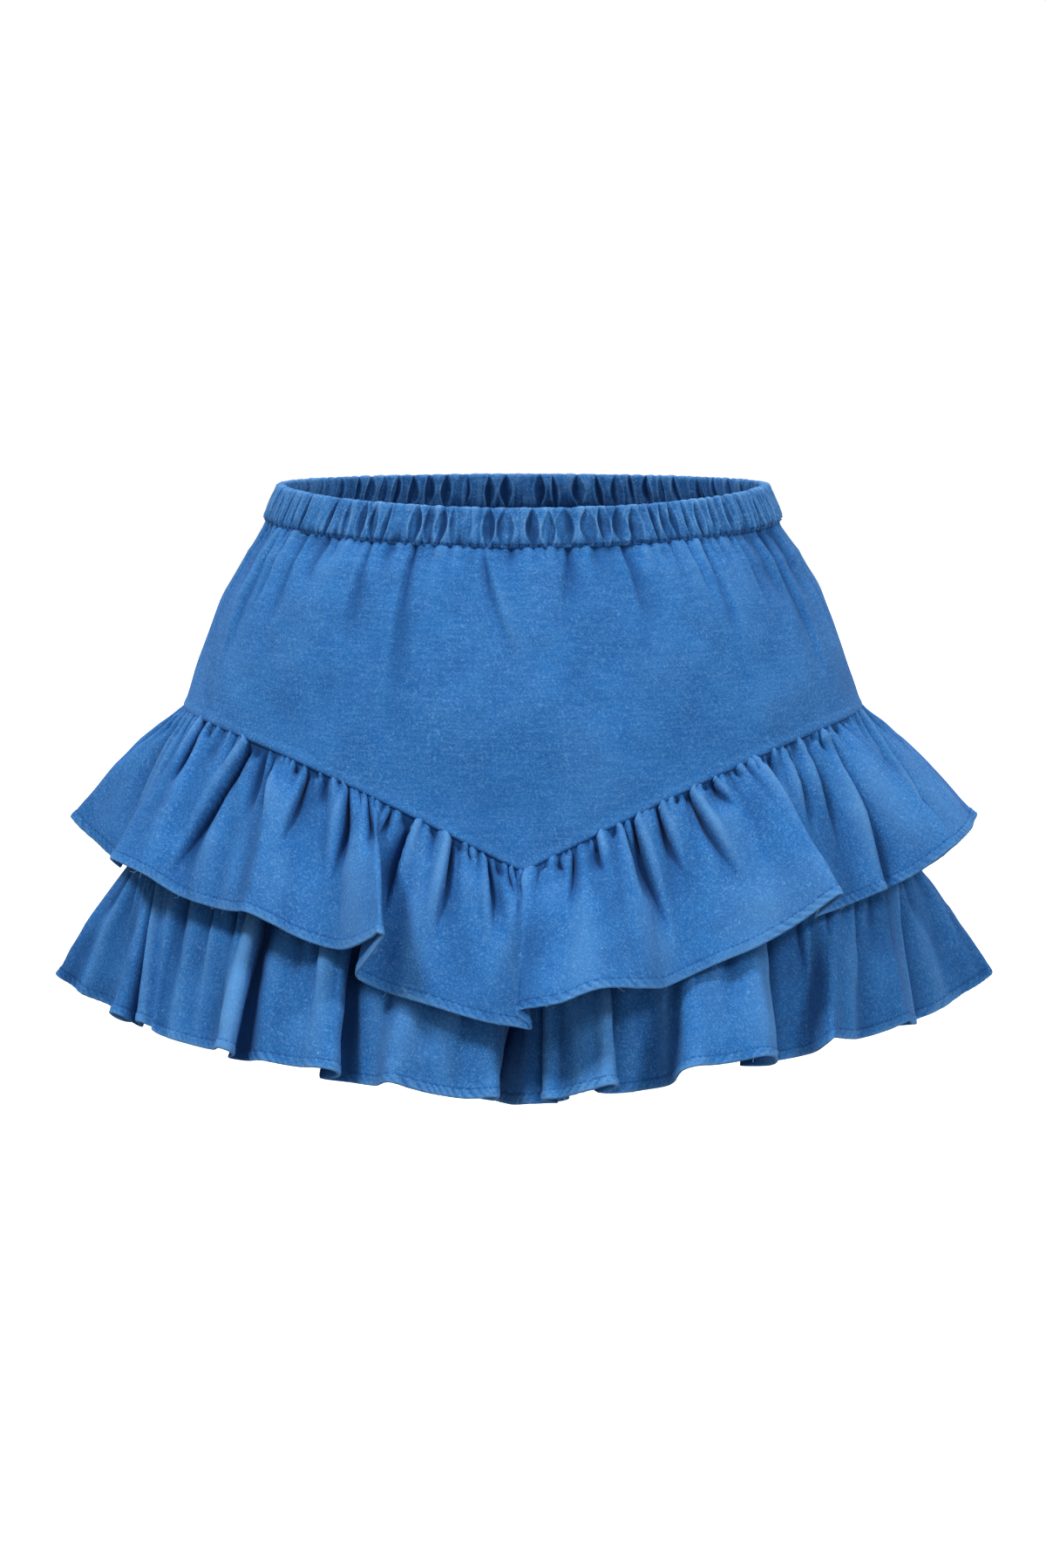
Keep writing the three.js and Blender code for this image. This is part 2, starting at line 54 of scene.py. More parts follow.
# The filled out body in plan: height, half width, depth in front and depth behind.
SECTIONS = np.array([
    (12, 132.5, 97, 99),
    (-12, 142, 104, 107),
    (-25, 151, 112, 117),
    (-50, 164.5, 124, 130),
    (-80, 176, 135, 141),
    (-111, 187, 144, 150),
    (-150, 199, 151, 157),
    (-190, 212, 158, 163),
    (-235, 222, 164, 168),
], float)
HALF_WIDTH, FRONT, BACK = 1, 2, 3

# Waistband casing. It dips at the centre front. A degree of it is about 2.1 mm.
BAND_BOTTOM = -9.0
BAND_HIGH = 21.0
BAND_DIP = 8.0
BAND_HALF_THICK = 1.7
BAND_DEGREE = 2.1

# The casing is gathered over elastic, so its cloth lies in flat panels with pointed hollows between
# them: how deep the hollows are and how wide their walls, how far they are shifted on the inside, how
# much the casing swells at half its height, and how far it is drawn in at its seam.
HOLLOW_DEEP = 3.3
WALL_WIDE = 0.55
INSIDE_SHIFT = 1.4
CROWN_HIGH = 1.4
SEAM_IN = 1.5

# Pinches along the casing's lower and upper edge: the seed, the edge's height, how many degrees apart
# they are and how deep.
PINCHES = [
    (31, 0, 2.0, 2.1),
    (33, BAND_HIGH, 3.1, 0.945),
]

# The casing's mesh: the heights of the rows up its side, the turn of the rows over its top edge, and
# where the stitches of its seam and of its joins run.
BAND_UP = np.array([0.3, 0.8, 1.5, 2.4, 3.6, 5, 6.6, 8.4, 10.4, 12.4, 14.4, 16.2, 17.6, 18.7, 19.5])
BAND_TURN = np.radians([18, 40, 65, 90, 115, 140, 162])
BAND_COLUMNS = 1000
SEAM_ROW = 3
JOIN_COLUMNS = (4, -5)

# V seam between the yoke and the upper ruffle: its height at the side and at its point, and how
# sharp the point is. A degree of the yoke's cloth is about 2.9 mm, and its top edge laps into the band.
V_SIDE = -111.0
V_POINT = -179.0
V_POWER = 1.5
YOKE_DEGREE = 2.9
YOKE_LAP = 1.4
YOKE_HALF_THICK = 0.5
YOKE_COLUMNS = 290

# Puckers that hang from the waistband: how many degrees apart they are, how high, how far they reach
# down, how far down they have all their height, the height that they swing about, and the seed.
YOKE_PUCKERS = [
    (2.6, 3.2, 6.5, 1.2, 0.5, 62),
    (5.2, 3.4, 15, 2, 0.6, 64),
]
YOKE_STREAK_HIGH = 1.8
YOKE_WAVE_HIGH = 1.2
YOKE_CRUMPLE_HIGH = 0.3

# Rows of the yoke's mesh, as shares of its height from the waistband down to the V seam.
YOKE_DOWN = np.concatenate([
    np.linspace(0, 0.1, 12),
    np.linspace(0.115, 0.9, 44),
    np.linspace(0.91, 0.985, 9),
    [0.989, 0.993, 0.9965, 1],
])

# Ruffles: the cloth's depth from seam to hem, how early it springs out from the seam, and how many
# millimetres a degree or a station is at the seam and at the hem.
UPPER_DEPTH = 92.5
UPPER_SPRING = 0.36
UPPER_DEGREE = (3.1, 5.4)
LEG_DEPTH = 92.0
LEG_SPRING = 0.42
LEG_DEGREE = (3.3, 5.0)
BACK_STRETCH = 1.03

# Rows of a ruffle's mesh, in millimetres below its seam, closer together at the seam and the hem.
RUFFLE_DOWN = np.array([
    0, 0.7, 1.5, 2.4, 3.4, 4.6, 6, 7.6, 9.5, 11.7, 14.2, 17, 20, 23.4, 27, 31, 35.4, 40, 45, 50, 55.5,
    61, 66.5, 71.5, 76, 80, 83.2, 85.4, 86.5, 87.1, 87.6, 88.1, 88.8, 89.7, 90.7, 91.5, 92.1, 92.5,
])

# Gathers below a ruffle's seam, and the rope of its hem: how far apart and how high they are, and how
# far the gathers reach down.
SHORT_GATHER_STEP = 4.9
SHORT_GATHER_HIGH = 3.6
SHORT_GATHER_REACH = 8.0
LONG_GATHER_STEP = 11.0
LONG_GATHER_HIGH = 5.2
LONG_GATHER_REACH = 27.0
HEM_ROPE_STEP = 5.2
HEM_ROPE_HIGH = 0.95

# Unevenness of a ruffle's cloth: how high its flutes stand and how many times longer than wide they
# are, how high its slow waves, fine crumples and hem's own waves stand, and how much deeper the cloth
# sinks in a crease than the tables of creases say.
FLUTE_HIGH = 3.0
FLUTE_LONG = 5
WAVE_HIGH = 1.0
CRUMPLE_HIGH = 0.4
HEM_WAVE_HIGH = 0.9
CREASE_GAIN = 1.55

# Legs: stations count from 0 at the side seam over 90 at the front centre to 130 at the inseam. The
# leg ruffle's seam has a height at each of these three, runs a little inside the body's surface and
# turns a round corner to the inseam. A pieced seam runs down the front of the leg ruffle.
CENTRE_STATION = 90.0
INSEAM_STATION = 130.0
PIECED_STATION = 99.0
LEG_SIDE = -188.0
LEG_FRONT = -208.0
LEG_INSEAM = -230.0
LEG_INSIDE = 2.4
LEG_HALF_GAP = 8.0
CORNER_START = 81.0
CORNER_TURN = 88.0
CORNER_END = 96.0

# Leg panels: they start just above the V seam, inside the yoke, and run hollow behind the upper
# ruffle. The crotch seam falls between two levels, counted from 0 at the V seam to 1 at the ruffle.
SHORTS_TUCK = 3.0
SHORTS_INSIDE = 1.3
SHORTS_HOLLOW = 5.0
SHORTS_HALF_THICK = 0.4
CROTCH_START = 0.25
CROTCH_END = 0.85
CROTCH_TOP = -184.0
CROTCH_FALL = 43.0
CROTCH_POWER = 1.6
CROTCH_ROUND = 0.557
SHORTS_ROWS = 30
SHORTS_COLUMNS = 100

# What the upper ruffle and the leg ruffles are built with: how many degrees or stations go round, how
# many millimetres a column of the mesh is, how strong the gathers are, and how steeply a crease may
# run inwards below the seam.
UPPER_CLOTH = {
    "whole": 360,
    "depth": UPPER_DEPTH,
    "degree": UPPER_DEGREE,
    "step": 1.2,
    "fold_size": 1.0,
    "sink_limit": 0.7,
}
LEG_CLOTH = {
    "whole": 260,
    "depth": LEG_DEPTH,
    "degree": LEG_DEGREE,
    "step": 1.3,
    "fold_size": 0.8,
    "sink_limit": 0.3,
}

# Cloth, hems and sewing. Pieces that are sewn together meet in a groove and just overlap there.
CLOTH_HALF_THICK = 0.35
EDGE_LAP = 0.05
HEM_WIDE = 4.6
HEM_HALF_THICK = 0.85
STITCH_PITCH = 2.9
STITCH_LONG = 2.0
STITCH_THICK = 0.34
BAND_STITCH = {"thick": 0.5, "length": 2.2}
JOIN_STITCH = {"thick": 0.3, "length": 1.8, "pitch": 2.4}
PIECED_ROWS = slice(8, -4)
FRAY_THICK = 0.08
FRAY_RINGS = 6
FRAYED_ENDS = 16

# Each light: the azimuth and elevation that it comes from, its strength and how wide it is. The
# white world reaches the cloth with a part of its strength only.
LIGHTS = {
    "key_left": (-52, 52, 2.2, 12),
    "key_right": (55, 40, 1.3, 14),
    "low_right": (20, 8, 0.4, 30),
    "front": (-8, 50, 0.3, 36),
    "back_left": (-145, 40, 1.3, 40),
    "back_right": (150, 40, 1.3, 40),
}
FLOOR_HEIGHT = -1.3
WORLD_LIGHT = 0.27

# Upper ruffle, a row for each turn of its hem in front: the angle at the seam, the angle at the
# hem, and how far the hem stands out from the body. The back repeats them, turned half round.
UPPER_FOLDS = [
    (-86, -90, 65),
    (-80, -86, 50),
    (-75, -78, 40),
    (-71, -70, 46),
    (-68, -65, 57),
    (-62, -58, 51),
    (-54, -53, 40),
    (-47, -44, 40),
    (-42, -38, 50),
    (-38, -34, 46),
    (-34, -30, 36),
    (-29, -24, 40),
    (-25, -18, 57),
    (-23, -16.5, 64),
    (-21.5, -19.5, 53),
    (-19.5, -21.5, 42),
    (-16, -18, 38),
    (-11, -11, 41),
    (-6, -4.5, 44),
    (-2.5, 0.0, 50),
    (0, 0.3, 60),
    (1.5, -1.2, 67),
    (6, 4.5, 62),
    (10, 9.5, 63),
    (14, 14.5, 52),
    (18, 19, 37),
    (25, 26, 38),
    (31, 33, 40),
    (36, 38.5, 61),
    (38.5, 41, 66),
    (41, 40.5, 48),
    (45, 44, 33),
    (52, 53, 34),
    (59, 61, 40),
    (64, 64.5, 58),
    (67, 66.5, 66),
    (69.5, 67.5, 54),
    (73, 70, 40),
    (79, 80, 46),
]

# Leg ruffles in front, from the side seam to the inseam: the station at the seam, then the hem's
# distance from the garment's middle and from the side seams.
LEFT_LEG_FOLDS = [
    (0, 263, 0),
    (8, 246, -14),
    (14, 229, -32),
    (18, 211, -66),
    (23, 206, -106),
    (28, 192, -113),
    (34, 176, -125),
    (40, 160, -150),
    (44, 149, -132),
    (50, 132, -140),
    (54, 124, -154),
    (57, 124, -182),
    (62, 101, -190),
    (67, 80, -194),
    (70, 75, -174),
    (74, 60, -172),
    (77, 49, -184),
    (80, 44, -204),
    (84, 29, -201),
    (88, 13, -192),
    (95, -3, -169),
    (102, -15, -140),
    (110, 24, -108),
    (119, 8, -60),
]
RIGHT_LEG_FOLDS = [
    (0, 263, 0),
    (8, 245, -14),
    (13, 225, -28),
    (16, 214, -56),
    (19, 220, -96),
    (25, 197, -108),
    (29, 196, -118),
    (34, 186, -123),
    (42, 166, -140),
    (48, 156, -160),
    (52, 146, -162),
    (56, 131, -172),
    (60, 115, -178),
    (64, 98, -187),
    (67, 92, -172),
    (71, 76, -178),
    (75, 67, -197),
    (79, 48, -191),
    (84, 31, -192),
    (88, 15, -196),
    (95, 16, -183),
    (103, 25, -150),
    (112, 14, -100),
    (121, 26, -50),
]
INSEAM_FOLD = (130, 16, 0)

# Creases of the upper ruffle in front: the angle at the seam and at the crease's end, how far down
# it reaches, how deep and how wide it is, and on which side its wall is steep, 1 towards +X.
UPPER_CREASES = [
    (-84, -84, 40, 3.0, 4, 0),
    (-79.5, -80, 28, 2.4, 3, 1),
    (-76, -76, 80, 4.5, 5, 1),
    (-72, -72, 22, 2.4, 2.5, -1),
    (-66.5, -65, 48, 4.6, 4.5, -1),
    (-62.5, -62, 15, 2.6, 2.4, 0),
    (-58.5, -59.5, 34, 1.8, 5, 0),
    (-55.5, -56, 12, 2.6, 2.2, 1),
    (-50.3, -57.5, 92, 6.5, 8.5, -1),
    (-47.6, -47.8, 14, 2.8, 2.2, 0),
    (-45.3, -46.3, 58, 3.8, 4.5, 0),
    (-42.6, -42.2, 52, 4.2, 4.2, 1),
    (-38.4, -38.7, 12, 2.6, 2.4, -1),
    (-35.9, -38.2, 60, 3.8, 5, -1),
    (-33.7, -33.9, 9, 2.4, 1.8, 0),
    (-31.8, -33.6, 30, 2.6, 3.6, 0),
    (-28.2, -30.8, 72, 5.2, 5.4, -1),
    (-24.6, -25.3, 52, 3.4, 4.4, -1),
    (-22.6, -22.7, 13, 2.6, 2.0, 1),
    (-20.4, -20.9, 26, 4.0, 3.0, -1),
    (-17.4, -17.3, 12, 2.6, 2.0, 0),
    (-15.7, -18.0, 66, 5.0, 5.2, 1),
    (-13.0, -13.2, 8, 2.4, 1.8, 0),
    (-10.7, -11.4, 68, 4.8, 4.8, -1),
    (-9.1, -9.0, 9, 2.4, 1.7, 0),
    (-7.6, -7.4, 14, 2.4, 2.0, 1),
    (-5.6, -4.6, 58, 4.0, 4.4, -1),
    (-3.6, -3.3, 15, 2.4, 2.0, 0),
    (-1.9, -1.5, 24, 2.6, 2.4, 1),
    (0.4, 0.4, 24, 3.6, 2.0, 1),
    (3.0, 3.0, 9, 2.4, 1.7, 0),
    (5.6, 5.7, 16, 4.0, 2.2, 1),
    (6.8, 6.6, 52, 2.8, 3.8, -1),
    (9.9, 10.2, 12, 3.0, 1.9, -1),
    (11.1, 11.0, 32, 4.0, 3.6, 1),
    (13.3, 13.4, 9, 2.4, 1.7, 0),
    (14.4, 16.1, 58, 3.0, 4.2, -1),
    (16.9, 19.2, 80, 5.4, 4.6, 1),
    (20.9, 22.7, 54, 4.8, 4.0, 1),
    (23.6, 23.9, 9, 2.6, 1.8, 0),
    (26.3, 30.2, 66, 5.6, 4.6, 1),
    (28.6, 28.9, 8, 2.4, 1.6, 0),
    (30.4, 32.4, 26, 3.8, 3.2, 1),
    (34.4, 35.4, 12, 2.0, 2.2, 0),
    (37.9, 38.2, 12, 2.8, 1.7, -1),
    (39.1, 40.2, 70, 5.0, 5.0, -1),
    (40.9, 41.0, 10, 2.6, 1.7, 0),
    (42.2, 43.2, 30, 4.0, 4.0, 0),
    (45.9, 47.9, 58, 5.2, 4.2, -1),
    (47.3, 47.4, 10, 2.6, 1.7, 1),
    (50.4, 52.6, 74, 4.2, 5.4, -1),
    (54.2, 54.4, 9, 2.6, 1.8, 0),
    (56.6, 56.9, 20, 3.6, 3.0, 1),
    (57.8, 57.6, 140, 5.6, 6.5, -1),
    (62.2, 62.4, 10, 2.4, 1.8, 0),
    (66.6, 67.0, 14, 2.6, 2.2, -1),
    (71.5, 72.0, 56, 4.0, 4.6, -1),
    (76.0, 76.4, 18, 2.6, 2.6, 0),
    (78.6, 79.6, 220, 4.6, 8, -1),
    (86.0, 86.0, 30, 2.8, 3.0, 0),
]

# Creases of the leg ruffles, by station, in the same columns.
RIGHT_LEG_CREASES = [
    (5, 5, 60, 2.4, 5, 0),
    (12, 11, 54, 2.2, 4, 1),
    (17.5, 18, 70, 2.6, 4, -1),
    (23, 23.5, 220, 7.5, 7, 1),
    (33, 32, 60, 2.4, 6, 0),
    (40.5, 40, 74, 2.6, 5, 1),
    (45, 45, 46, 2.4, 4, 0),
    (50.6, 50.8, 220, 7.5, 13, -1),
    (57.5, 58.5, 60, 2.2, 4, 0),
    (61.5, 61, 80, 2.0, 5, 1),
    (66.0, 66.2, 220, 6.5, 11, -1),
    (72, 73, 70, 2.6, 4, 0),
    (79, 79, 58, 2.4, 5, 1),
    (83, 83, 74, 2.6, 4, -1),
    (96, 96, 160, -2.6, 10, 0),
    (107, 107, 50, 2.8, 5, 1),
    (116, 115, 76, 3.2, 6, 0),
    (125, 125, 46, 2.8, 5, -1),
]
LEFT_LEG_CREASES = [
    (6, 6, 60, 2.4, 6, 0),
    (13, 13, 60, 2.2, 5, 0),
    (18.0, 18.6, 220, 6.5, 11, 1),
    (28, 28.5, 60, 2.4, 4, 0),
    (34, 33, 70, 2.6, 6, 1),
    (40, 40, 50, 2.2, 4, 0),
    (46, 45, 60, 2.4, 4, -1),
    (53.6, 54.2, 220, 7.5, 13, 1),
    (60, 61, 66, 2.4, 5, 0),
    (66, 65, 60, 2.6, 4, 1),
    (71, 71, 46, 2.2, 4, 0),
    (79.0, 79.4, 220, 7, 12, 1),
    (84, 84, 58, 2.4, 4, 0),
    (88.8, 89.2, 220, 6, 9, -1),
    (107, 106, 60, 2.8, 5, -1),
    (116, 117, 70, 3.2, 6, 0),
    (125, 125, 50, 2.8, 5, 1),
]

# Creases of the yoke below the waistband, in front, in the same columns.
YOKE_CREASES = [
    (-86, -84, 60, 1.6, 5, 0),
    (-79, -77, 90, 2.4, 6, 1),
    (-73, -72, 44, 1.8, 4, 0),
    (-67, -65, 84, 2.6, 6, -1),
    (-60.5, -60, 52, 2.0, 4.5, 1),
    (-54.5, -53, 66, 2.0, 5, 0),
    (-48, -48, 26, 1.5, 3, 0),
    (-43.5, -43, 16, 1.2, 3, 0),
    (-34.6, -33.4, 62, 2.9, 5, -1),
    (-30, -29.6, 14, 1.0, 3, 0),
    (-23.9, -22.0, 112, 3.0, 5.5, -1),
    (-17.4, -17.0, 18, 1.1, 3, 0),
    (-12.5, -12, 12, 1.1, 3, 0),
    (-8.4, -0.8, 66, 2.8, 5, 1),
    (-2.6, -2.6, 9, 0.9, 2.5, 0),
    (3.4, 3.0, 10, 0.9, 2.5, 0),
    (9.2, 7.0, 40, 2.0, 4.5, -1),
    (14.8, 14.6, 14, 1.2, 3, 0),
    (21.4, 23.8, 52, 2.4, 6, -1),
    (25.2, 25.4, 13, 1.7, 2.6, 1),
    (31.4, 31.0, 14, 1.7, 2.8, 1),
    (37.0, 38.6, 44, 1.7, 4.5, -1),
    (41.6, 42.2, 66, 2.7, 5, 1),
    (47.0, 47.0, 20, 1.3, 3, 0),
    (52.6, 52.6, 58, 1.8, 5, -1),
    (59.0, 58.4, 46, 1.8, 4.5, 0),
    (65.5, 64.5, 88, 2.6, 6, 1),
    (72, 71, 50, 2.0, 4.5, 0),
    (78.5, 77.5, 84, 2.2, 6, -1),
    (85, 84, 54, 1.6, 5, 0),
]

# Hollows between the gathers of the waistband, all round: the angle, half the width, how deep
# against the deepest, and how far the top leans towards +X on the front.
BAND_HOLLOWS = [
    (-87, 0.9, 0.7, 0.6),
    (-81.5, 1.2, 0.9, 0.8),
    (-76.5, 0.9, 0.8, 1.2),
    (-71, 1.3, 0.8, 0.8),
    (-66, 1.1, 1.0, 2.2),
    (-61.5, 0.8, 0.6, 1.4),
    (-57.4, 1.1, 1.0, 2.4),
    (-47.4, 1.2, 1.0, 2.0),
    (-42.1, 1.6, 0.6, -0.8),
    (-37.9, 1.9, 0.9, 0.4),
    (-34.4, 2.0, 0.8, -0.5),
    (-31.4, 1.0, 0.8, 1.8),
    (-24.3, 2.4, 1.0, 0.6),
    (-20.6, 2.6, 0.5, -0.6),
    (-18.0, 2.3, 0.9, 0.6),
    (-15.3, 0.8, 0.6, -0.8),
    (-12.0, 1.2, 0.4, 1.0),
    (-7.6, 2.3, 1.0, 0.2),
    (-3.6, 3.4, 0.6, -0.3),
    (2.3, 2.5, 1.0, -0.3),
    (5.6, 2.5, 0.8, 0.2),
    (9.3, 3.8, 0.6, 0.0),
    (14.5, 3.4, 0.7, -0.8),
    (17.8, 2.4, 0.9, -1.2),
    (21.8, 3.2, 0.7, -1.2),
    (25.4, 2.8, 0.7, -0.8),
    (29.8, 0.9, 0.8, -2.6),
    (32.7, 2.2, 0.8, -2.0),
    (35.1, 1.4, 0.9, -1.6),
    (38.8, 0.9, 0.6, -1.8),
    (42.3, 2.0, 1.0, -0.6),
    (46.6, 1.4, 0.6, -0.8),
    (52.1, 1.8, 1.0, -1.8),
    (58.1, 1.5, 0.8, -2.0),
    (65.3, 1.3, 1.0, -1.6),
    (69.5, 0.9, 0.7, -0.8),
    (73.4, 1.1, 0.9, -1.0),
    (79.0, 1.0, 0.9, -0.8),
    (85.5, 1.2, 0.8, -0.6),
    (92, 1.6, 0.9, 0.8),
    (98, 1.8, 0.7, -0.6),
    (104.5, 2.2, 1.0, 0.8),
    (111, 1.4, 0.8, 0.4),
    (118.2, 2.2, 0.9, -0.8),
    (124.2, 1.6, 0.8, 1.0),
    (130.5, 2.4, 0.7, 0.6),
    (138.1, 1.4, 1.0, 1.6),
    (143.0, 1.2, 0.7, -0.8),
    (146.8, 2.2, 1.0, 0.4),
    (151.5, 0.9, 0.8, 1.4),
    (155.4, 3.0, 0.6, 0.0),
    (160.4, 1.4, 1.0, 1.0),
    (165.6, 3.2, 0.7, 0.3),
    (171.6, 1.2, 1.0, 0.6),
    (175.4, 2.4, 0.8, -0.5),
    (183.4, 2.8, 1.0, 0.4),
    (187.8, 2.2, 1.0, 0.0),
    (193.6, 1.1, 0.6, -0.8),
    (198.4, 2.3, 1.0, 0.2),
    (203.3, 2.2, 1.0, 0.4),
    (207.6, 2.4, 0.9, 0.2),
    (212.2, 2.0, 1.0, -0.6),
    (216.0, 1.8, 0.7, 0.8),
    (220.3, 2.4, 1.0, 0.0),
    (224.2, 1.2, 0.9, 0.8),
    (231.0, 2.2, 0.7, -0.6),
    (238.5, 1.4, 0.9, 0.8),
    (245.5, 2.0, 0.8, 0.6),
    (252.0, 1.5, 0.9, -0.8),
    (259.0, 1.8, 0.7, 0.6),
    (266.0, 1.3, 0.9, -0.6),
]


# Small helpers on arrays of numbers

def clamp(value):
    return np.clip(value, 0.0, 1.0)


def mix(a, b, t):
    return a + (b - a) * t


def smooth(value):
    t = clamp(value)
    return t * t * (3 - 2 * t)


def spline(a, b, c, d, t):
    square, cube = 2 * a - 5 * b + 4 * c - d, 3 * b - a - 3 * c + d
    return 0.5 * (2 * b + (c - a) * t + square * t ** 2 + cube * t ** 3)


def bell(value):
    return np.exp(-np.minimum(value ** 2, 40))


def unit(vectors):
    return vectors / np.maximum(np.linalg.norm(vectors, axis=-1, keepdims=True), 1e-9)


def run_along(points):
    return np.concatenate([[0], np.cumsum(np.linalg.norm(np.diff(points, axis=0), axis=1))])


def wander(places, whole, step, seed, size=1.0):
    """A smooth random line round a loop that is whole long, with a new value at about each step."""
    count = max(4, round(whole / step))
    values = np.random.default_rng(seed).uniform(-1, 1, count)
    x = np.asarray(places, float) * count / whole
    i = np.floor(x).astype(int)
    before, here, after, beyond = (values[(i + k) % count] for k in (-1, 0, 1, 2))
    return size * spline(before, here, after, beyond, x - i)


def crumple(places, whole, down, step, seed):
    """Smooth random unevenness over a cloth that goes round a loop."""
    count = max(4, round(whole / step))
    rows = np.random.default_rng(seed).uniform(-1, 1, (count, 64))
    x = np.asarray(places, float) * count / whole
    y = np.asarray(down, float) / step + 8
    x, y = np.broadcast_arrays(x, y)
    i, j = np.floor(x).astype(int), np.floor(y).astype(int)

    def across(row):
        return spline(*(rows[(i + k) % count, row % 64] for k in (-1, 0, 1, 2)), x - i)

    return spline(*(across(j + k) for k in (-1, 0, 1, 2)), y - j)


def puckers(places, whole, step, seed, sharp=0.65):
    """Rounded ridges with sharp valleys between them, a step apart on average and uneven."""
    count = round(whole / step)
    phase = places * count / whole + wander(places, whole, 2.6 * step, seed, 0.45)
    ridge = np.abs(np.sin(np.pi * phase)) ** sharp
    return ridge * (0.7 + wander(places, whole, 1.7 * step, seed + 1, 0.3))


def creases(rows, places, whole, down, degree):
    """Troughs that start at a seam, each with its own course, depth, width and steep side.

    Gives how far the cloth sinks, and how far it leans along the seam where a steep side overhangs."""
    lift = np.zeros(np.broadcast_shapes(np.shape(places), np.shape(down)))
    lean = np.zeros_like(lift)
    for start, end, length, deep, wide, steep in rows:
        share = down / length
        centre = mix(start, end, clamp(share))
        across = (np.mod(places - centre + whole / 2, whole) - whole / 2) * degree
        spread = wide * (0.4 + 0.6 * smooth(share * 1.5))
        fall = deep * (1 - smooth((share - 0.4) / 0.6))
        if steep:
            lip = across * steep / spread
            lift += 0.3 * fall * bell((lip - 0.75) / 0.5)
            lean -= 0.5 * steep * fall * bell((lip - 0.45) / 0.4)
            spread = np.where(across * steep > 0, 0.34 * spread, 1.4 * spread)
        lift -= fall * bell(across / spread)
    return lift, lean


def half_turned(rows, turn):
    """The same rows for the other side: turned round, each a little moved, longer or shorter."""
    numbers = np.random.default_rng(turn)
    turned = []
    for start, end, length, deep, wide, steep in rows:
        slip = turn + numbers.uniform(-0.5, 0.5)
        longer, deeper, wider = numbers.uniform(0.84, 1.16, 3)
        turned.append((start + slip, end + slip, length * longer, deep * deeper, wide * wider, steep))
    return turned


# The garment's form

def section_size(column, height):
    """The body's half width or depth at a height."""
    heights = SECTIONS[:, 0]
    last = len(heights) - 1
    height = np.asarray(height, float)
    i = np.clip(np.searchsorted(-heights, -height, side="right") - 1, 0, last - 1)
    t = clamp((heights[i] - height) / (heights[i] - heights[i + 1]))
    value = SECTIONS[:, column]
    return spline(value[np.maximum(i - 1, 0)], value[i], value[i + 1], value[np.minimum(i + 2, last)], t)


def body_point(angle, height, out=0.0):
    """A point of the body at an angle from the front, moved outwards along the plan's normal."""
    angle, height, out = np.broadcast_arrays(np.radians(angle), np.asarray(height, float), out)
    sine, cosine = np.sin(angle), np.cos(angle)
    wide = section_size(HALF_WIDTH, height)
    deep = np.where(cosine > 0, section_size(FRONT, height), section_size(BACK, height))
    normal = unit(np.stack([sine / wide, -cosine / deep], -1))
    return np.stack([
        wide * sine + out * normal[..., 0],
        -deep * cosine + out * normal[..., 1],
        height,
    ], -1)


def band_dip(angle):
    """How much lower the waistband runs at an angle than at the sides."""
    return BAND_DIP * np.maximum(0, np.cos(np.radians(angle))) ** 1.5


def seam_height(angle):
    """The height of the V seam."""
    return V_SIDE + (V_POINT - V_SIDE) * (1 - np.abs(np.sin(np.radians(angle)))) ** V_POWER


def leg_height(station):
    """The height of the seam between a leg panel and its ruffle."""
    s = np.minimum(station, 2 * INSEAM_STATION - station)
    turn = np.radians(np.minimum(s, CENTRE_STATION))
    outer = LEG_SIDE + (LEG_FRONT - LEG_SIDE) * np.maximum(0, 1 - np.cos(turn)) ** V_POWER
    share = clamp((s - CENTRE_STATION) / (INSEAM_STATION - CENTRE_STATION))
    inner = LEG_FRONT + (LEG_INSEAM - LEG_FRONT) * np.sin(np.pi / 2 * share)
    return np.where(s <= CENTRE_STATION, outer, inner)


def leg_plan(s, facing, height):
    """A point of the leg ruffle's seam in plan before its corner is rounded, on the +X leg."""
    angle = np.where(facing < 0, 90 - s, 90 + s)
    point = body_point(angle, height, -LEG_INSIDE)
    front = -body_point(0, LEG_FRONT, -LEG_INSIDE)[1]
    back = body_point(180, LEG_FRONT, -LEG_INSIDE)[1]
    inner = (s - CENTRE_STATION) / (INSEAM_STATION - CENTRE_STATION)
    across = np.where(s > 60, np.maximum(point[..., 0], LEG_HALF_GAP), point[..., 0])
    outer_side = s <= CENTRE_STATION
    return np.stack([
        np.where(outer_side, across, LEG_HALF_GAP),
        np.where(outer_side, point[..., 1], facing * np.where(facing < 0, front, back) * (1 - inner)),
    ], -1)


def leg_loop(station):
    """The leg ruffle's seam, round from the side over the front, the inseam and the back."""
    station = np.mod(np.asarray(station, float), 2 * INSEAM_STATION)
    facing = np.where(station <= INSEAM_STATION, -1.0, 1.0)
    s = np.minimum(station, 2 * INSEAM_STATION - station)
    height = leg_height(station)
    plan = leg_plan(s, facing, height)
    t = clamp((s - CORNER_START) / (CORNER_END - CORNER_START))[..., None]
    first, corner, last = (leg_plan(np.full_like(s, place), facing, leg_height(place))
                           for place in (CORNER_START, CORNER_TURN, CORNER_END))
    corner[..., 0] = LEG_HALF_GAP
    rounded = (1 - t) ** 2 * first + 2 * t * (1 - t) * corner + t ** 2 * last
    at_corner = ((s > CORNER_START) & (s < CORNER_END))[..., None]
    return np.concatenate([np.where(at_corner, rounded, plan), height[..., None]], -1)


def closed_table(rows, turn, places):
    """Values of a closed table at places counted in rows, by a spline through its rows."""
    rows = np.array(rows, float)
    count = len(rows)
    places = np.asarray(places, float)
    i = np.floor(places).astype(int)
    t = (places - i)[:, None]

    def row(n):
        return rows[np.mod(n, count)] + np.floor_divide(n, count)[:, None] * np.array(turn, float)

    return spline(row(i - 1), row(i), row(i + 1), row(i + 2), t)


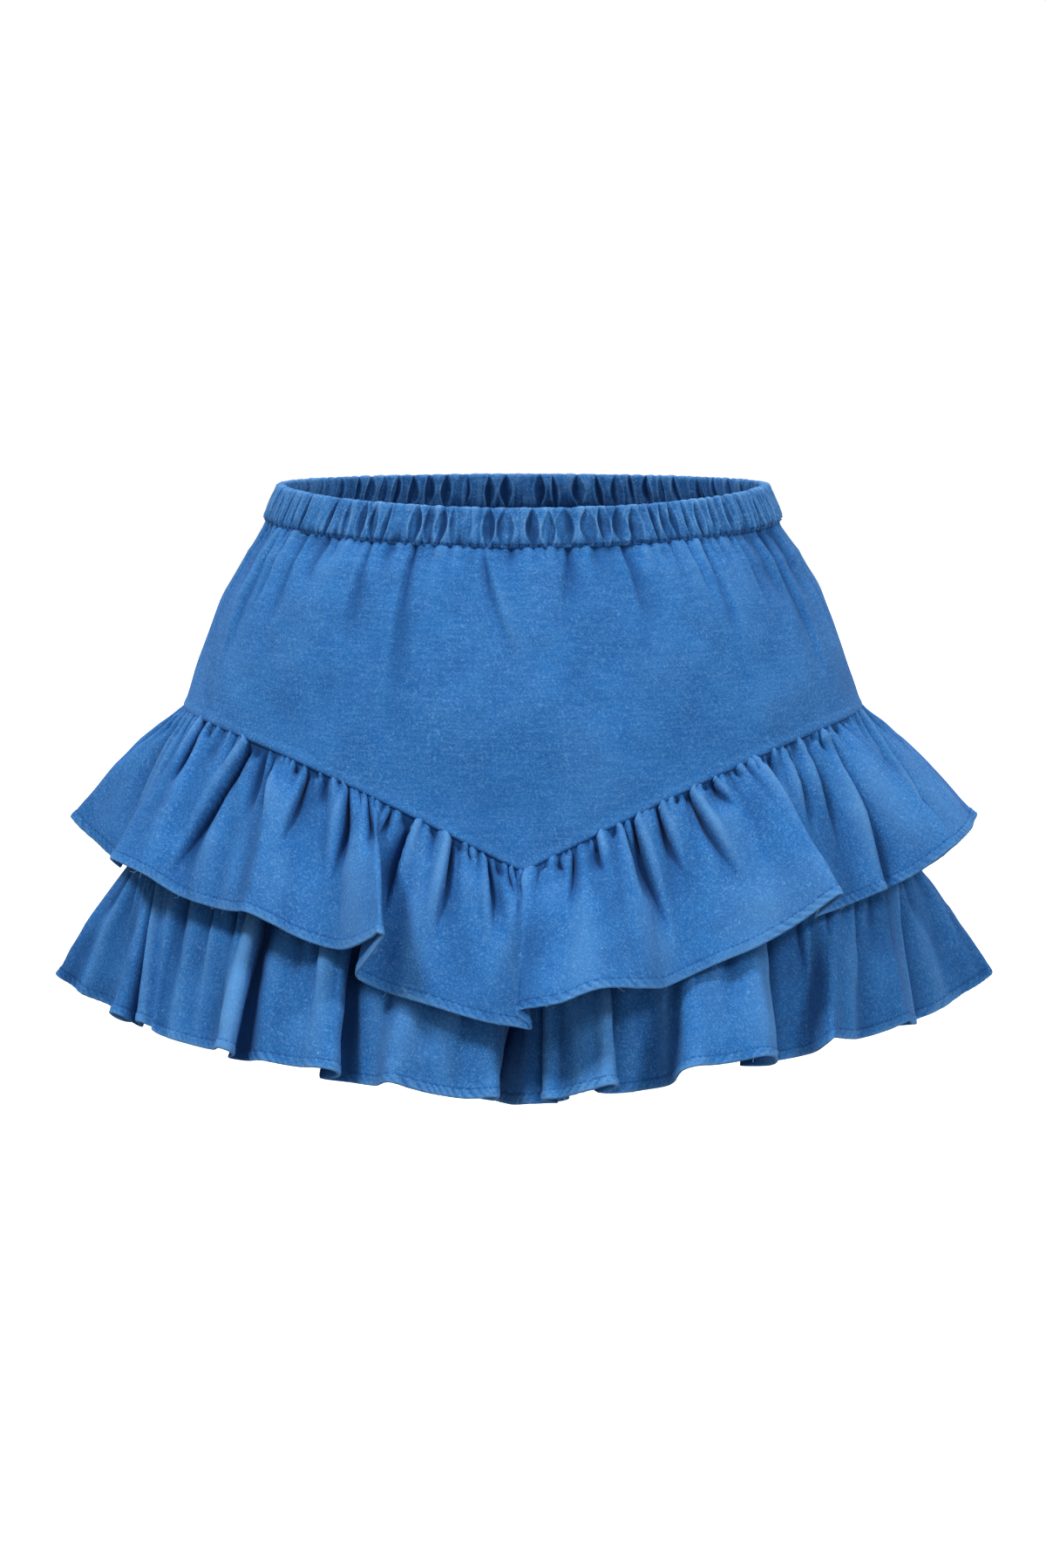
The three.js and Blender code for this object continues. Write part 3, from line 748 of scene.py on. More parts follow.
def ruffle_lines(seam, hem, depth, spring, down):
    """Lines from the seam to the hem: they spring out from the seam and then fall straight."""
    flat = np.hypot(hem[:, 0] - seam[:, 0], hem[:, 1] - seam[:, 1])
    drop = np.sqrt(np.maximum(depth ** 2 - flat ** 2, 100))
    end = np.column_stack([hem[:, 0], hem[:, 1], seam[:, 2] - drop])
    middle = (seam + end) / 2
    middle[:, 2] = seam[:, 2] - spring * drop
    t = (np.asarray(down) / depth)[:, None, None]
    return (1 - t) ** 2 * seam + 2 * t * (1 - t) * middle + t ** 2 * end


def upper_lines(places, down):
    """Points of the upper ruffle, and the angle at the seam of each of its lines."""
    back = [(seam + 180, hem + 180, out) for seam, hem, out in UPPER_FOLDS]
    seam, hem, out = closed_table(UPPER_FOLDS + back, (360, 360, 0), places).T
    start = body_point(seam, seam_height(seam) + 1.2, -0.9)
    end = body_point(hem, seam_height(hem), out)
    return ruffle_lines(start, end, UPPER_DEPTH, UPPER_SPRING, down), seam


def leg_rows(side):
    """The whole fold table of one leg: its own front, the inseam, and the other leg's front turned."""
    tables = [LEFT_LEG_FOLDS, RIGHT_LEG_FOLDS]
    front, other = tables if side > 0 else tables[::-1]
    back = [(2 * INSEAM_STATION - station, across, -forward * BACK_STRETCH)
            for station, across, forward in other[:0:-1]]
    return front + [INSEAM_FOLD] + back, len(front)


def leg_crease_rows(side):
    """The troughs of one leg: its own front's, and the other leg's turned to the back."""
    tables = [LEFT_LEG_CREASES, RIGHT_LEG_CREASES]
    front, other = tables if side > 0 else tables[::-1]
    whole = 2 * INSEAM_STATION
    return front + [(whole - start, whole - end, length, deep, wide, -steep)
                    for start, end, length, deep, wide, steep in other]


def leg_lines(side):
    """The function that gives points of one leg ruffle and the station of each of its lines."""
    rows, _ = leg_rows(side)
    count = len(rows)

    def lines(places, down):
        row_places = count - places if side > 0 else places
        station, across, forward = closed_table(rows, (2 * INSEAM_STATION, 0, 0), row_places).T
        seam = leg_loop(station) + np.array([0, 0, 0.8])
        grid = ruffle_lines(seam, np.column_stack([across, forward]), LEG_DEPTH, LEG_SPRING, down)
        return grid * np.array([side, 1, 1]), station

    return lines


def grid_normals(grid):
    """Outward normals of a grid whose rows run down and whose columns run to the viewer's right."""
    along = np.gradient(grid, axis=1)
    down = np.gradient(grid, axis=0)
    return unit(np.cross(down, along))


def even_places(first, last, lines, depth, step):
    """Places along a fold table, evenly spaced along the cloth between its seam and its hem."""
    fine = np.linspace(first, last, 2400)
    points, _ = lines(fine, np.array([0, depth]))
    run = 0.5 * run_along(points[0]) + 0.7 * run_along(points[1])
    count = int(run[-1] / step)
    return np.interp(np.linspace(0, run[-1], count + 1), run, fine)


# Cloth meshes

def quads(a, b, c, d):
    return np.stack([a, b, c, d], -1).reshape(-1, 4)


def make_piece(name, points, face_sets, place, wear_highlight_and_shade, flat_sets=0):
    """A smooth piece from its points and faces, with a UV map and a signed value at each point:
    rubbed wear and painted highlight above zero, painted shade below.

    The last flat_sets of the face sets are cut edges, which stay flat."""
    corners = np.concatenate([faces.ravel() for faces in face_sets]).astype(np.int32)
    sizes = np.concatenate([np.full(len(faces), faces.shape[1]) for faces in face_sets])
    mesh = bpy.data.meshes.new(name)
    mesh.vertices.add(len(points))
    mesh.vertices.foreach_set("co", (points * MM).astype(np.float32).ravel())
    mesh.loops.add(len(corners))
    mesh.loops.foreach_set("vertex_index", corners)
    mesh.polygons.add(len(sizes))
    mesh.polygons.foreach_set("loop_start", (np.cumsum(sizes) - sizes).astype(np.int32))
    round_sets = len(face_sets) - flat_sets
    smooth_faces = [np.full(len(faces), number < round_sets) for number, faces in enumerate(face_sets)]
    mesh.polygons.foreach_set("use_smooth", np.concatenate(smooth_faces))
    cloth = mesh.uv_layers.new(name="Cloth")
    cloth.data.foreach_set("uv", (place[corners] * MM).astype(np.float32).ravel())
    # This attribute pales the cloth for rubbed wear and a painted highlight on raised cloth, and darkens it
    # as painted shade in creases, hollows, seams and grooves.
    worn_and_shaded = mesh.attributes.new("wear_highlight_and_shade", "FLOAT", "POINT")
    worn_and_shaded.data.foreach_set("value", np.asarray(wear_highlight_and_shade, np.float32))
    mesh.update(calc_edges=True)
    mesh.validate()
    piece = bpy.data.objects.new(name, mesh)
    bpy.context.scene.collection.objects.link(piece)
    return piece


def cloth_mesh(name, outer, inner, cloth_u, cloth_v, wear_highlight_and_shade):
    """A closed thin shell between two grids, with the cloth's own coordinates as its UV map."""
    rows, columns = outer.shape[:2]
    points = np.concatenate([outer.reshape(-1, 3), inner.reshape(-1, 3)])
    index = np.arange(rows * columns).reshape(rows, columns)
    under = index + rows * columns
    faces = [
        quads(index[:-1, :-1], index[1:, :-1], index[1:, 1:], index[:-1, 1:]),
        quads(under[:-1, :-1], under[:-1, 1:], under[1:, 1:], under[1:, :-1]),
        quads(index[0, :-1], index[0, 1:], under[0, 1:], under[0, :-1]),
        quads(index[-1, 1:], index[-1, :-1], under[-1, :-1], under[-1, 1:]),
        quads(index[1:, 0], index[:-1, 0], under[:-1, 0], under[1:, 0]),
        quads(index[:-1, -1], index[1:, -1], under[1:, -1], under[:-1, -1]),
    ]
    place = np.stack(np.broadcast_arrays(cloth_u, cloth_v), -1).reshape(-1, 2)
    return make_piece(name, points, faces, np.tile(place, (2, 1)), np.tile(wear_highlight_and_shade.ravel(), 2), flat_sets=2)


def dress(piece, node, material):
    """Puts a finished cloth piece in place of its solid."""
    piece.data.materials.append(material)
    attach(piece, "root")
    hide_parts(node)


def close_ends(outer, inner):
    """Moves the two side edges of a piece out a hair, so that no light passes at a seam."""
    for shell in (outer, inner):
        shell[:, 0] -= unit(shell[:, 1] - shell[:, 0]) * EDGE_LAP
        shell[:, -1] -= unit(shell[:, -2] - shell[:, -1]) * EDGE_LAP


def seam_groove(run, deep=0.7, wide=1.1):
    """How far cloth sinks towards the plain seams at both ends of its run."""
    return -deep * bell(np.minimum(run - run[0], run[-1] - run) / wide)


# Ruffles

def hem_thickness(up):
    """Half the cloth's thickness above a hem: a turned edge with a stitch groove and a round rim."""
    turned = smooth((HEM_WIDE + 0.9 - up) / 0.9)
    thick = mix(CLOTH_HALF_THICK, HEM_HALF_THICK, turned) - 0.3 * bell((up - HEM_WIDE) / 0.5)
    return thick * np.sqrt(clamp(1 - 0.85 * clamp(1 - up / 0.9) ** 2))


def hem_rope(places, whole, up, degree):
    """The roped, slanting puckers of a narrow hem, drawn in along its stitches."""
    slant = places + 1.1 * up / degree
    within = smooth((HEM_WIDE + 1.5 - up) / 1.8)
    rope = puckers(slant, whole, HEM_ROPE_STEP / degree, 11, 0.8) - 0.55
    return HEM_ROPE_HIGH * within * rope * (0.75 + wander(places, whole, 9, 15, 0.6))


def gathers(places, whole, down, degree, seed):
    """Gathers below a seam: many short ones with round tops, and half as many longer ones."""
    start = np.sqrt(clamp(1 - (1 - clamp(down / 3.2)) ** 2))
    short = puckers(places, whole, SHORT_GATHER_STEP / degree[0], seed) - 0.6
    short = short * SHORT_GATHER_HIGH * np.exp(-down / SHORT_GATHER_REACH)
    reach = LONG_GATHER_REACH + wander(places, whole, 5, seed + 5, 12)
    longer = puckers(places, whole, LONG_GATHER_STEP / degree[0], seed + 10, 0.7) - 0.6
    longer = longer * LONG_GATHER_HIGH * np.exp(-down / reach)
    return start * (short + longer)


def ruffle_piece(name, lines, span, rows, seed, whole, depth, degree, step, fold_size, sink_limit):
    """One piece of a ruffle between two places of its fold table, with its gathers, creases and hem.

    The sink limit keeps its creases outside of what lies under them."""
    down = RUFFLE_DOWN * depth / RUFFLE_DOWN[-1]
    places = even_places(*span, lines, depth, step)
    edge = places[1] - places[0]
    places = np.concatenate([[span[0] - edge], places, [span[1] + edge]])
    grid, station = lines(places, down)
    normal = grid_normals(grid)
    d = down[:, None]
    up = depth - d
    share = d / depth
    sunk, lean = creases(rows, station, whole, d, mix(degree[0], degree[1], share))
    lift = fold_size * gathers(station, whole, d, degree, seed) + CREASE_GAIN * sunk
    flutes = crumple(station, whole, d / (FLUTE_LONG * degree[1]), 2.7, seed + 29)
    lift += FLUTE_HIGH * flutes * smooth((d - 8) / 36) * (1 - 0.35 * share)
    lift += WAVE_HIGH * crumple(station, whole, d / degree[1], 5.0, seed + 30) * smooth(d / 30)
    lift += CRUMPLE_HIGH * crumple(station, whole, d / degree[1], 1.7, seed + 31) * smooth(d / 20)
    lift += wander(station, whole, 2.6, seed + 41, HEM_WAVE_HIGH) * share ** 5
    lift = np.maximum(lift, -0.3 - sink_limit * d)
    grooved = lift + seam_groove(run_along(grid[len(down) // 2]))
    along = unit(np.gradient(grid, axis=1)) * np.sign(station[-1] - station[0])
    grid = grid + normal * grooved[..., None] + along * (lean * smooth(d / 4))[..., None]
    normal = grid_normals(grid)
    half = hem_thickness(up)[..., None]
    rope = hem_rope(station, whole, up, degree[1])[..., None]
    outer = (grid + normal * (half + rope))[:, 1:-1]
    inner = (grid - normal * (half - 0.6 * rope))[:, 1:-1]
    close_ends(outer, inner)
    # The hem band and its rim are rubbed pale, more on the rope's raised puckers, which is partly painted
    # highlight. Fold tops get a painted highlight and creases painted shade, both from the lift; the hem's
    # stitch groove and the seam at the top get painted shade.
    wear_highlight_and_shade = smooth((HEM_WIDE + 1.0 - up) / 2.2) * (0.2 + 1.1 * rope[..., 0])
    wear_highlight_and_shade = wear_highlight_and_shade + (0.18 + 0.2 * np.exp(-d / 18)) * lift
    wear_highlight_and_shade += 0.8 * bell(up / 1.1) - 0.5 * bell((up - HEM_WIDE) / 0.5)
    wear_highlight_and_shade -= 0.9 * np.exp(-d / 0.9)
    wear_highlight_and_shade = np.clip(wear_highlight_and_shade[:, 1:-1], -1, 1)
    station = station[1:-1]
    piece = cloth_mesh(name, outer, inner, (station * degree[1])[None], d, wear_highlight_and_shade)
    return piece, outer, inner, down, station


# Sewing

# A stitch is a flat spindle with six corners: its head, four round its middle, and its tail.
STITCH_FACES = np.array([
    (0, 1, 2), (0, 2, 3), (0, 3, 4), (0, 4, 1),
    (5, 2, 1), (5, 3, 2), (5, 4, 3), (5, 1, 4),
])
LEVEL = np.array([1, 1, 0])


def stitch_row(points, outward, seed, pitch=STITCH_PITCH, length=STITCH_LONG, thick=STITCH_THICK):
    """Corner points of a row of small stitches that lie along a line on the cloth."""
    run = run_along(points)
    count = int(run[-1] / pitch)
    jitter = np.random.default_rng(seed).uniform(-0.2, 0.2, count)
    centre = (np.arange(count) + 0.5 + jitter) * run[-1] / count

    def at(values, place):
        return np.column_stack([np.interp(place, run, values[:, k]) for k in range(3)])

    head, middle, tail = (at(points, centre + k * length / 2) for k in (-1, 0, 1))
    up = unit(at(outward, centre))
    side = unit(np.cross(tail - head, up)) * thick
    up = up * thick
    return np.stack([head - up / 2, middle + side, middle + up, middle - side, middle - up, tail - up / 2], 1)


def loose_ends(rim, outward, count, seed):
    """Frayed thread ends that curl away from a hem's rim, each as rings of three corners."""
    numbers = np.random.default_rng(seed)
    place = numbers.integers(3, len(rim) - 3, count)
    out = unit(outward[place])
    along = unit(rim[place + 1] - rim[place - 1])
    heading = unit(0.6 * out + numbers.uniform(-1.2, 1.2, (count, 1)) * along + np.array([0, 0, -0.3]))
    curl = numbers.uniform(-0.45, 0.45, (count, 3))
    step = numbers.uniform(0.35, 1.0, (count, 1))
    point = rim[place] - 0.4 * out
    rings = []
    for _ in range(FRAY_RINGS):
        side = unit(np.cross(heading, out))
        up = np.cross(side, heading)
        turns = np.radians([0, 120, 240])
        rings.append(np.stack([point + FRAY_THICK * (np.cos(a) * side + np.sin(a) * up) for a in turns], 1))
        point = point + heading * step
        heading = unit(heading + curl)
    return np.stack(rings, 1)


def thread_piece(name, points, face_sets, material):
    """A finished piece of bare thread, which stands for no solid."""
    piece = make_piece(name, points, face_sets, points[:, :2], np.zeros(len(points)))
    piece.data.materials.append(material)
    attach(piece, "root")


def fraying(name, ends):
    """All the loose ends as one mesh of closed three-sided tubes."""
    ends = np.concatenate(ends)
    count, rings, sides = ends.shape[:3]
    number = np.arange(count * rings * sides).reshape(count, rings, sides)
    after = np.roll(number, -1, axis=2)
    walls = np.stack([number[:, :-1], after[:, :-1], after[:, 1:], number[:, 1:]], -1).reshape(-1, 4)
    caps = np.concatenate([number[:, 0, ::-1], number[:, -1]])
    points = ends.reshape(-1, 3)
    thread_piece(name, points, [walls, caps], thread_pale)


def sewing(name, rows):
    """All the stitches of one kind as a joined mesh."""
    corners = np.concatenate(rows)
    faces = (STITCH_FACES[None] + 6 * np.arange(len(corners))[:, None, None]).reshape(-1, 3)
    points = corners.reshape(-1, 3)
    thread_piece(name, points, [faces], thread_blue)


# Materials

def linear(hex_colour):
    """A colour as Blender wants it, from a hex colour as a painter reads it."""
    values = [int(hex_colour[i:i + 2], 16) / 255 for i in (1, 3, 5)]
    return [v / 12.92 if v <= 0.04045 else ((v + 0.055) / 1.055) ** 2.4 for v in values] + [1.0]


def node(tree, kind, settings=None, inputs=None, links=None):
    """Adds a node with its settings, its input values and its incoming links."""
    made = tree.nodes.new(kind)
    for key, value in (settings or {}).items():
        setattr(made, key, value)
    for key, value in (inputs or {}).items():
        made.inputs[key].default_value = value
    for key, source in (links or {}).items():
        tree.links.new(source, made.inputs[key])
    return made


def bare_material(name):
    """A new material with no nodes yet."""
    material = bpy.data.materials.new(name)
    material.use_nodes = True
    material.node_tree.nodes.clear()
    return material


# Chambray-weight denim, washed soft: a plain weave of blue warp and paler weft, with pale fibres
# that stand up and curl. That gives the eye a mottled matt blue with a fine pale fuzz, paler where
# hems rub, with a painted highlight on raised folds and painted shade in creases, hollows, seams and
# grooves. The weave itself, 3 threads to the millimetre, is too fine to show.
FIBRE_MM = 3.2
FUZZ_MM = 1.1
MOTTLE_MM = 26.0
SLUB_LONG_MM = 16.0
SLUB_HIGH_MM = 1.5
NAP_MM = 0.5


def denim(name, painted_shade_blue, deep, base, pale, slub):
    """Denim from a blue painted as shade in its creases, hollows, seams and grooves, two blues of its dye,
    and its pale weft, which also paints the highlight on raised cloth.
    """
    material = bare_material(name)
    tree = material.node_tree
    rgba = {"data_type": "RGBA"}
    weft_and_highlight_blue = linear(pale)
    solid = node(tree, "ShaderNodeTexCoord").outputs["Object"]
    place = node(tree, "ShaderNodeUVMap", {"uv_map": "Cloth"}).outputs["UV"]
    # Rubbed wear with painted highlight above zero, painted shade below zero.
    worn_and_shaded = node(tree, "ShaderNodeAttribute", {"attribute_name": "wear_highlight_and_shade"}).outputs["Fac"]

    # Dye that has faded a little unevenly.
    mottle = node(tree, "ShaderNodeTexNoise", links={"Vector": solid},
                  inputs={"Scale": 1000 / MOTTLE_MM, "Detail": 5.0, "Roughness": 0.6})
    dye = node(tree, "ShaderNodeMapRange", inputs={"From Min": 0.33, "From Max": 0.67},
               links={"Value": mottle.outputs["Fac"]})
    cloth = node(tree, "ShaderNodeMix", rgba, {6: linear(deep), 7: linear(base)}, {0: dye.outputs[0]})

    # Slubs, which are the thicker threads of the weft.
    threads = node(tree, "ShaderNodeMapping", links={"Vector": place},
                   inputs={"Scale": (1000 / SLUB_LONG_MM, 1000 / SLUB_HIGH_MM, 1.0)})
    weft = node(tree, "ShaderNodeTexNoise", inputs={"Scale": 1.0, "Detail": 3.0, "Roughness": 0.55},
                links={"Vector": threads.outputs[0]})
    slubs = node(tree, "ShaderNodeMapRange", inputs={"From Min": 0.45, "From Max": 0.75, "To Max": slub},
                 links={"Value": weft.outputs["Fac"]})
    striped = node(tree, "ShaderNodeMix", rgba, {7: weft_and_highlight_blue}, {0: slubs.outputs[0], 6: cloth.outputs[2]})

    # Curled pale fibres, and a finer fuzz between them.
    curl = node(tree, "ShaderNodeTexNoise", links={"Vector": solid},
                inputs={"Scale": 1000 / FIBRE_MM, "Detail": 2.5, "Roughness": 0.6, "Distortion": 3.0})
    fibres = node(tree, "ShaderNodeMapRange", inputs={"From Min": 0.52, "From Max": 0.76, "To Max": 0.5},
                  links={"Value": curl.outputs["Fac"]})
    curled = node(tree, "ShaderNodeMix", rgba, {7: weft_and_highlight_blue}, {0: fibres.outputs[0], 6: striped.outputs[2]})
    fuzz = node(tree, "ShaderNodeTexNoise", links={"Vector": solid},
                inputs={"Scale": 1000 / FUZZ_MM, "Detail": 3.0, "Distortion": 0.8})
    specks = node(tree, "ShaderNodeMapRange", inputs={"From Min": 0.48, "From Max": 0.8, "To Max": 0.4},
                  links={"Value": fuzz.outputs["Fac"]})
    fuzzy = node(tree, "ShaderNodeMix", rgba, {7: weft_and_highlight_blue}, {0: specks.outputs[0], 6: curled.outputs[2]})

    # Rubbed hems and raised folds are paler, partly wear and partly painted highlight; creases, hollows,
    # seams and grooves get painted shade in a darker blue.
    rubbed_and_highlit = node(tree, "ShaderNodeMapRange", inputs={"From Max": 1.0, "To Max": 0.42}, links={"Value": worn_and_shaded})
    painted_shade = node(tree, "ShaderNodeMapRange", inputs={"From Max": -1.0, "To Max": 0.9}, links={"Value": worn_and_shaded})
    ridges = node(tree, "ShaderNodeMix", rgba, {7: weft_and_highlight_blue}, {0: rubbed_and_highlit.outputs[0], 6: fuzzy.outputs[2]})
    final = node(tree, "ShaderNodeMix", rgba, {7: linear(painted_shade_blue)}, {0: painted_shade.outputs[0], 6: ridges.outputs[2]})

    # The fuzz stands up a little.
    nap = node(tree, "ShaderNodeMath", {"operation": "ADD"},
               links={0: fuzz.outputs["Fac"], 1: fibres.outputs[0]})
    bump = node(tree, "ShaderNodeBump", inputs={"Strength": 0.6, "Distance": NAP_MM * MM},
                links={"Height": nap.outputs[0]})
    shader = node(tree, "ShaderNodeBsdfPrincipled", inputs={
        "Roughness": 0.92,
        "Specular IOR Level": 0.15,
        "Sheen Weight": 0.07,
        "Sheen Roughness": 0.5,
        "Sheen Tint": linear("#bcd6f2"),
    }, links={"Base Color": final.outputs[2], "Normal": bump.outputs[0]})
    node(tree, "ShaderNodeOutputMaterial", links={"Surface": shader.outputs[0]})
    return material


# Thread: the twist gives the eye small dashes of a darker and a lighter blue. The spun polyester
# sewing thread is darker than the cloth and dull, and the cotton ends that fray out of a hem are pale.
TWIST_MM = 0.625


def thread(name, dark, light):
    """Thread that turns between two blues."""
    material = bare_material(name)
    tree = material.node_tree
    solid = node(tree, "ShaderNodeTexCoord").outputs["Object"]
    twist = node(tree, "ShaderNodeTexNoise", links={"Vector": solid},
                 inputs={"Scale": 1000 / TWIST_MM, "Detail": 2.0})
    colour = node(tree, "ShaderNodeMix", {"data_type": "RGBA"}, {6: linear(dark), 7: linear(light)},
                  {0: twist.outputs["Fac"]})
    shader = node(tree, "ShaderNodeBsdfPrincipled", inputs={"Roughness": 0.75, "Specular IOR Level": 0.25},
                  links={"Base Color": colour.outputs[2]})
    node(tree, "ShaderNodeOutputMaterial", links={"Surface": shader.outputs[0]})
    return material


# The first blue of each denim is the painted shade of its creases, hollows, seams and grooves.
denim_yoke = denim("denim_yoke", "#134079", "#1b5b9d", "#2369ae", "#6ea8e0", slub=0.16)
denim_ruffle = denim("denim_ruffle", "#113b71", "#1b5b9d", "#2369ae", "#72ace2", slub=0.06)
denim_band = denim("denim_band", "#11386b", "#1d5c9d", "#2468aa", "#7eb4e6", slub=0.06)
denim_shorts = denim("denim_shorts", "#134079", "#1b5b9d", "#2369ae", "#6ea8e0", slub=0.12)
thread_blue = thread("thread_blue", "#14376a", "#285690")
thread_pale = thread("thread_pale", "#6c9fd4", "#b4d0ee")


# Waistband

def band_relief(angle, height, shift):
    """How far the casing's cloth stands above the floor of its hollows, and a signed paling there:
    rubbed wear and painted highlight above zero, painted shade below.

    Each hollow is deeper on one side, where its floor gets painted shade, and its edges stand up as
    narrow ridges, rubbed pale with a painted highlight. Small pinches run in from the casing's two
    edges between the hollows and get painted shade."""
    relief = np.full(np.broadcast_shapes(angle.shape, height.shape), HOLLOW_DEEP)
    rub_highlight_and_shade = np.zeros_like(relief)
    numbers = np.random.default_rng(8)
    for centre, half, deep, lean in BAND_HOLLOWS:
        low, high = numbers.uniform(-2.5, 2.0), numbers.uniform(19.0, 23)
        rise = clamp((height - low) / (high - low))
        spindle = np.sin(np.pi * rise) ** 1.15
        bow = numbers.uniform(-0.8, 0.8) * spindle
        middle = centre + (shift + bow + 1.3 * lean * (rise - 0.5)) / BAND_DEGREE
        across = (np.mod(angle - middle + 180, 360) - 180) * BAND_DEGREE
        wide = 0.3 + 1.05 * half * spindle
        off = np.abs(across) - wide
        tilt = 0.7 + 0.4 * np.tanh(across * np.sign(lean + 0.05) / wide)
        inside = smooth(0.5 - off / (2 * WALL_WIDE))
        relief -= HOLLOW_DEEP * deep * (0.5 + 0.5 * spindle) * tilt * inside
        edge = deep * (0.3 + 0.7 * spindle) * bell((off - 0.75) / 0.45)
        relief += 0.6 * edge
        # Painted highlight on the rubbed ridges at the hollow's edges, painted shade on the floor of its
        # deeper side.
        rub_highlight_and_shade += 0.75 * edge - 0.5 * deep * bell((off + 0.25) / 0.4) * (tilt > 0.75)
    for seed, edge_height, step, deep in PINCHES:
        inwards = np.abs(height - edge_height)
        reach = 4.2 + wander(angle, 360, 2.2, seed, 2.4)
        pinch = 1 - puckers(angle, 360, step, seed + 10, 0.6)
        sunk = deep * (pinch - 0.3) * np.exp(-inwards / reach)
        relief -= sunk
        # Painted shade in the pinches.
        rub_highlight_and_shade -= 0.6 * sunk
    streaks = crumple(angle, 360, height / (6 * BAND_DEGREE), 1.2, 52)
    creased = crumple(angle, 360, height / BAND_DEGREE, 1.5, 51)
    # Paler on raised streaks and creases and darker on sunk ones: painted highlight and painted shade.
    return relief + 0.45 * streaks + 0.25 * creased, rub_highlight_and_shade + 0.25 * streaks + 0.12 * creased


def waistband(name, first, last):
    """Half of the casing: a flat closed tube round the elastic.

    Gives the piece, its seam line in front, and the lines of its joins outside and then inside."""
    lap = EDGE_LAP / BAND_DEGREE
    angles = np.linspace(first - lap, last + lap, BAND_COLUMNS)
    wall = len(BAND_UP)
    up = np.concatenate([BAND_UP, 19.65 + 1.35 * np.sin(BAND_TURN), BAND_UP[::-1], [0, 0]])
    side = np.concatenate([np.ones(wall), np.cos(BAND_TURN), -np.ones(wall), [-0.5, 0.5]])
    height, angle = up[:, None], angles[None, :]
    outwards = clamp((side[:, None] + 1) / 2)
    outer, outer_rub_highlight_and_shade = band_relief(angle, height, 0.0)
    inner, inner_rub_highlight_and_shade = band_relief(angle, height, INSIDE_SHIFT)
    relief, rub_highlight_and_shade = mix(inner, outer, outwards), mix(inner_rub_highlight_and_shade, outer_rub_highlight_and_shade, outwards)
    loose = wander(angle, 360, 5, 21, 0.5) * smooth(height / 6)
    swell = (relief - HOLLOW_DEEP) * smooth(height / 2.5 + 0.25)
    crown = CROWN_HIGH * np.sin(np.pi * clamp(height / BAND_HIGH)) ** 0.6
    seam_in = SEAM_IN * smooth((3.4 - height) / 3.4)
    out = side[:, None] * np.maximum(0.25, BAND_HALF_THICK - seam_in + crown + swell + 0.3 * loose)
    near_top = smooth((height - 16.5) / 4)
    top = BAND_BOTTOM + height + near_top * 0.5 * np.clip(swell, -1.8, 0.6)
    points = body_point(np.broadcast_to(angle, out.shape), top, out)
    points[..., 2] -= band_dip(angles)[None, :]
    section = run_along(np.column_stack([up, side * BAND_HALF_THICK, 0 * up]))
    # Pale at the casing's top edge, partly rubbed wear and partly painted highlight; painted shade in a thin
    # line at its seam; painted highlight and painted shade from the relief.
    wear_highlight_and_shade = rub_highlight_and_shade + 0.36 * (relief - HOLLOW_DEEP) + 0.25 * near_top - 0.8 * np.exp(-height / 0.8)
    wear_highlight_and_shade = np.append(np.clip(wear_highlight_and_shade, -1, 1).ravel(), [0, 0])
    hub = len(up) * BAND_COLUMNS
    index = np.arange(hub).reshape(len(up), BAND_COLUMNS)
    index = np.concatenate([index, index[:1]])
    hubs = np.full(len(up), hub)
    faces = [
        quads(index[:-1, :-1], index[:-1, 1:], index[1:, 1:], index[1:, :-1]),
        np.column_stack([hubs, index[:-1, 0], index[1:, 0]]),
        np.column_stack([hubs + 1, index[1:, -1], index[:-1, -1]]),
    ]
    middles = np.array([points[:, 0].mean(0), points[:, -1].mean(0)])
    place = np.stack(np.broadcast_arrays(angle * BAND_DEGREE, section[:, None]), -1).reshape(-1, 2)
    place = np.concatenate([place, place[:2]])
    over = wall + len(BAND_TURN)
    walls = (slice(1, wall), slice(over, over + wall - 1))
    joins = [points[rows, column].copy() for rows in walls for column in JOIN_COLUMNS]
    corners = np.concatenate([points.reshape(-1, 3), middles])
    return make_piece(name, corners, faces, place, wear_highlight_and_shade, flat_sets=2), points[SEAM_ROW], joins


# Yoke

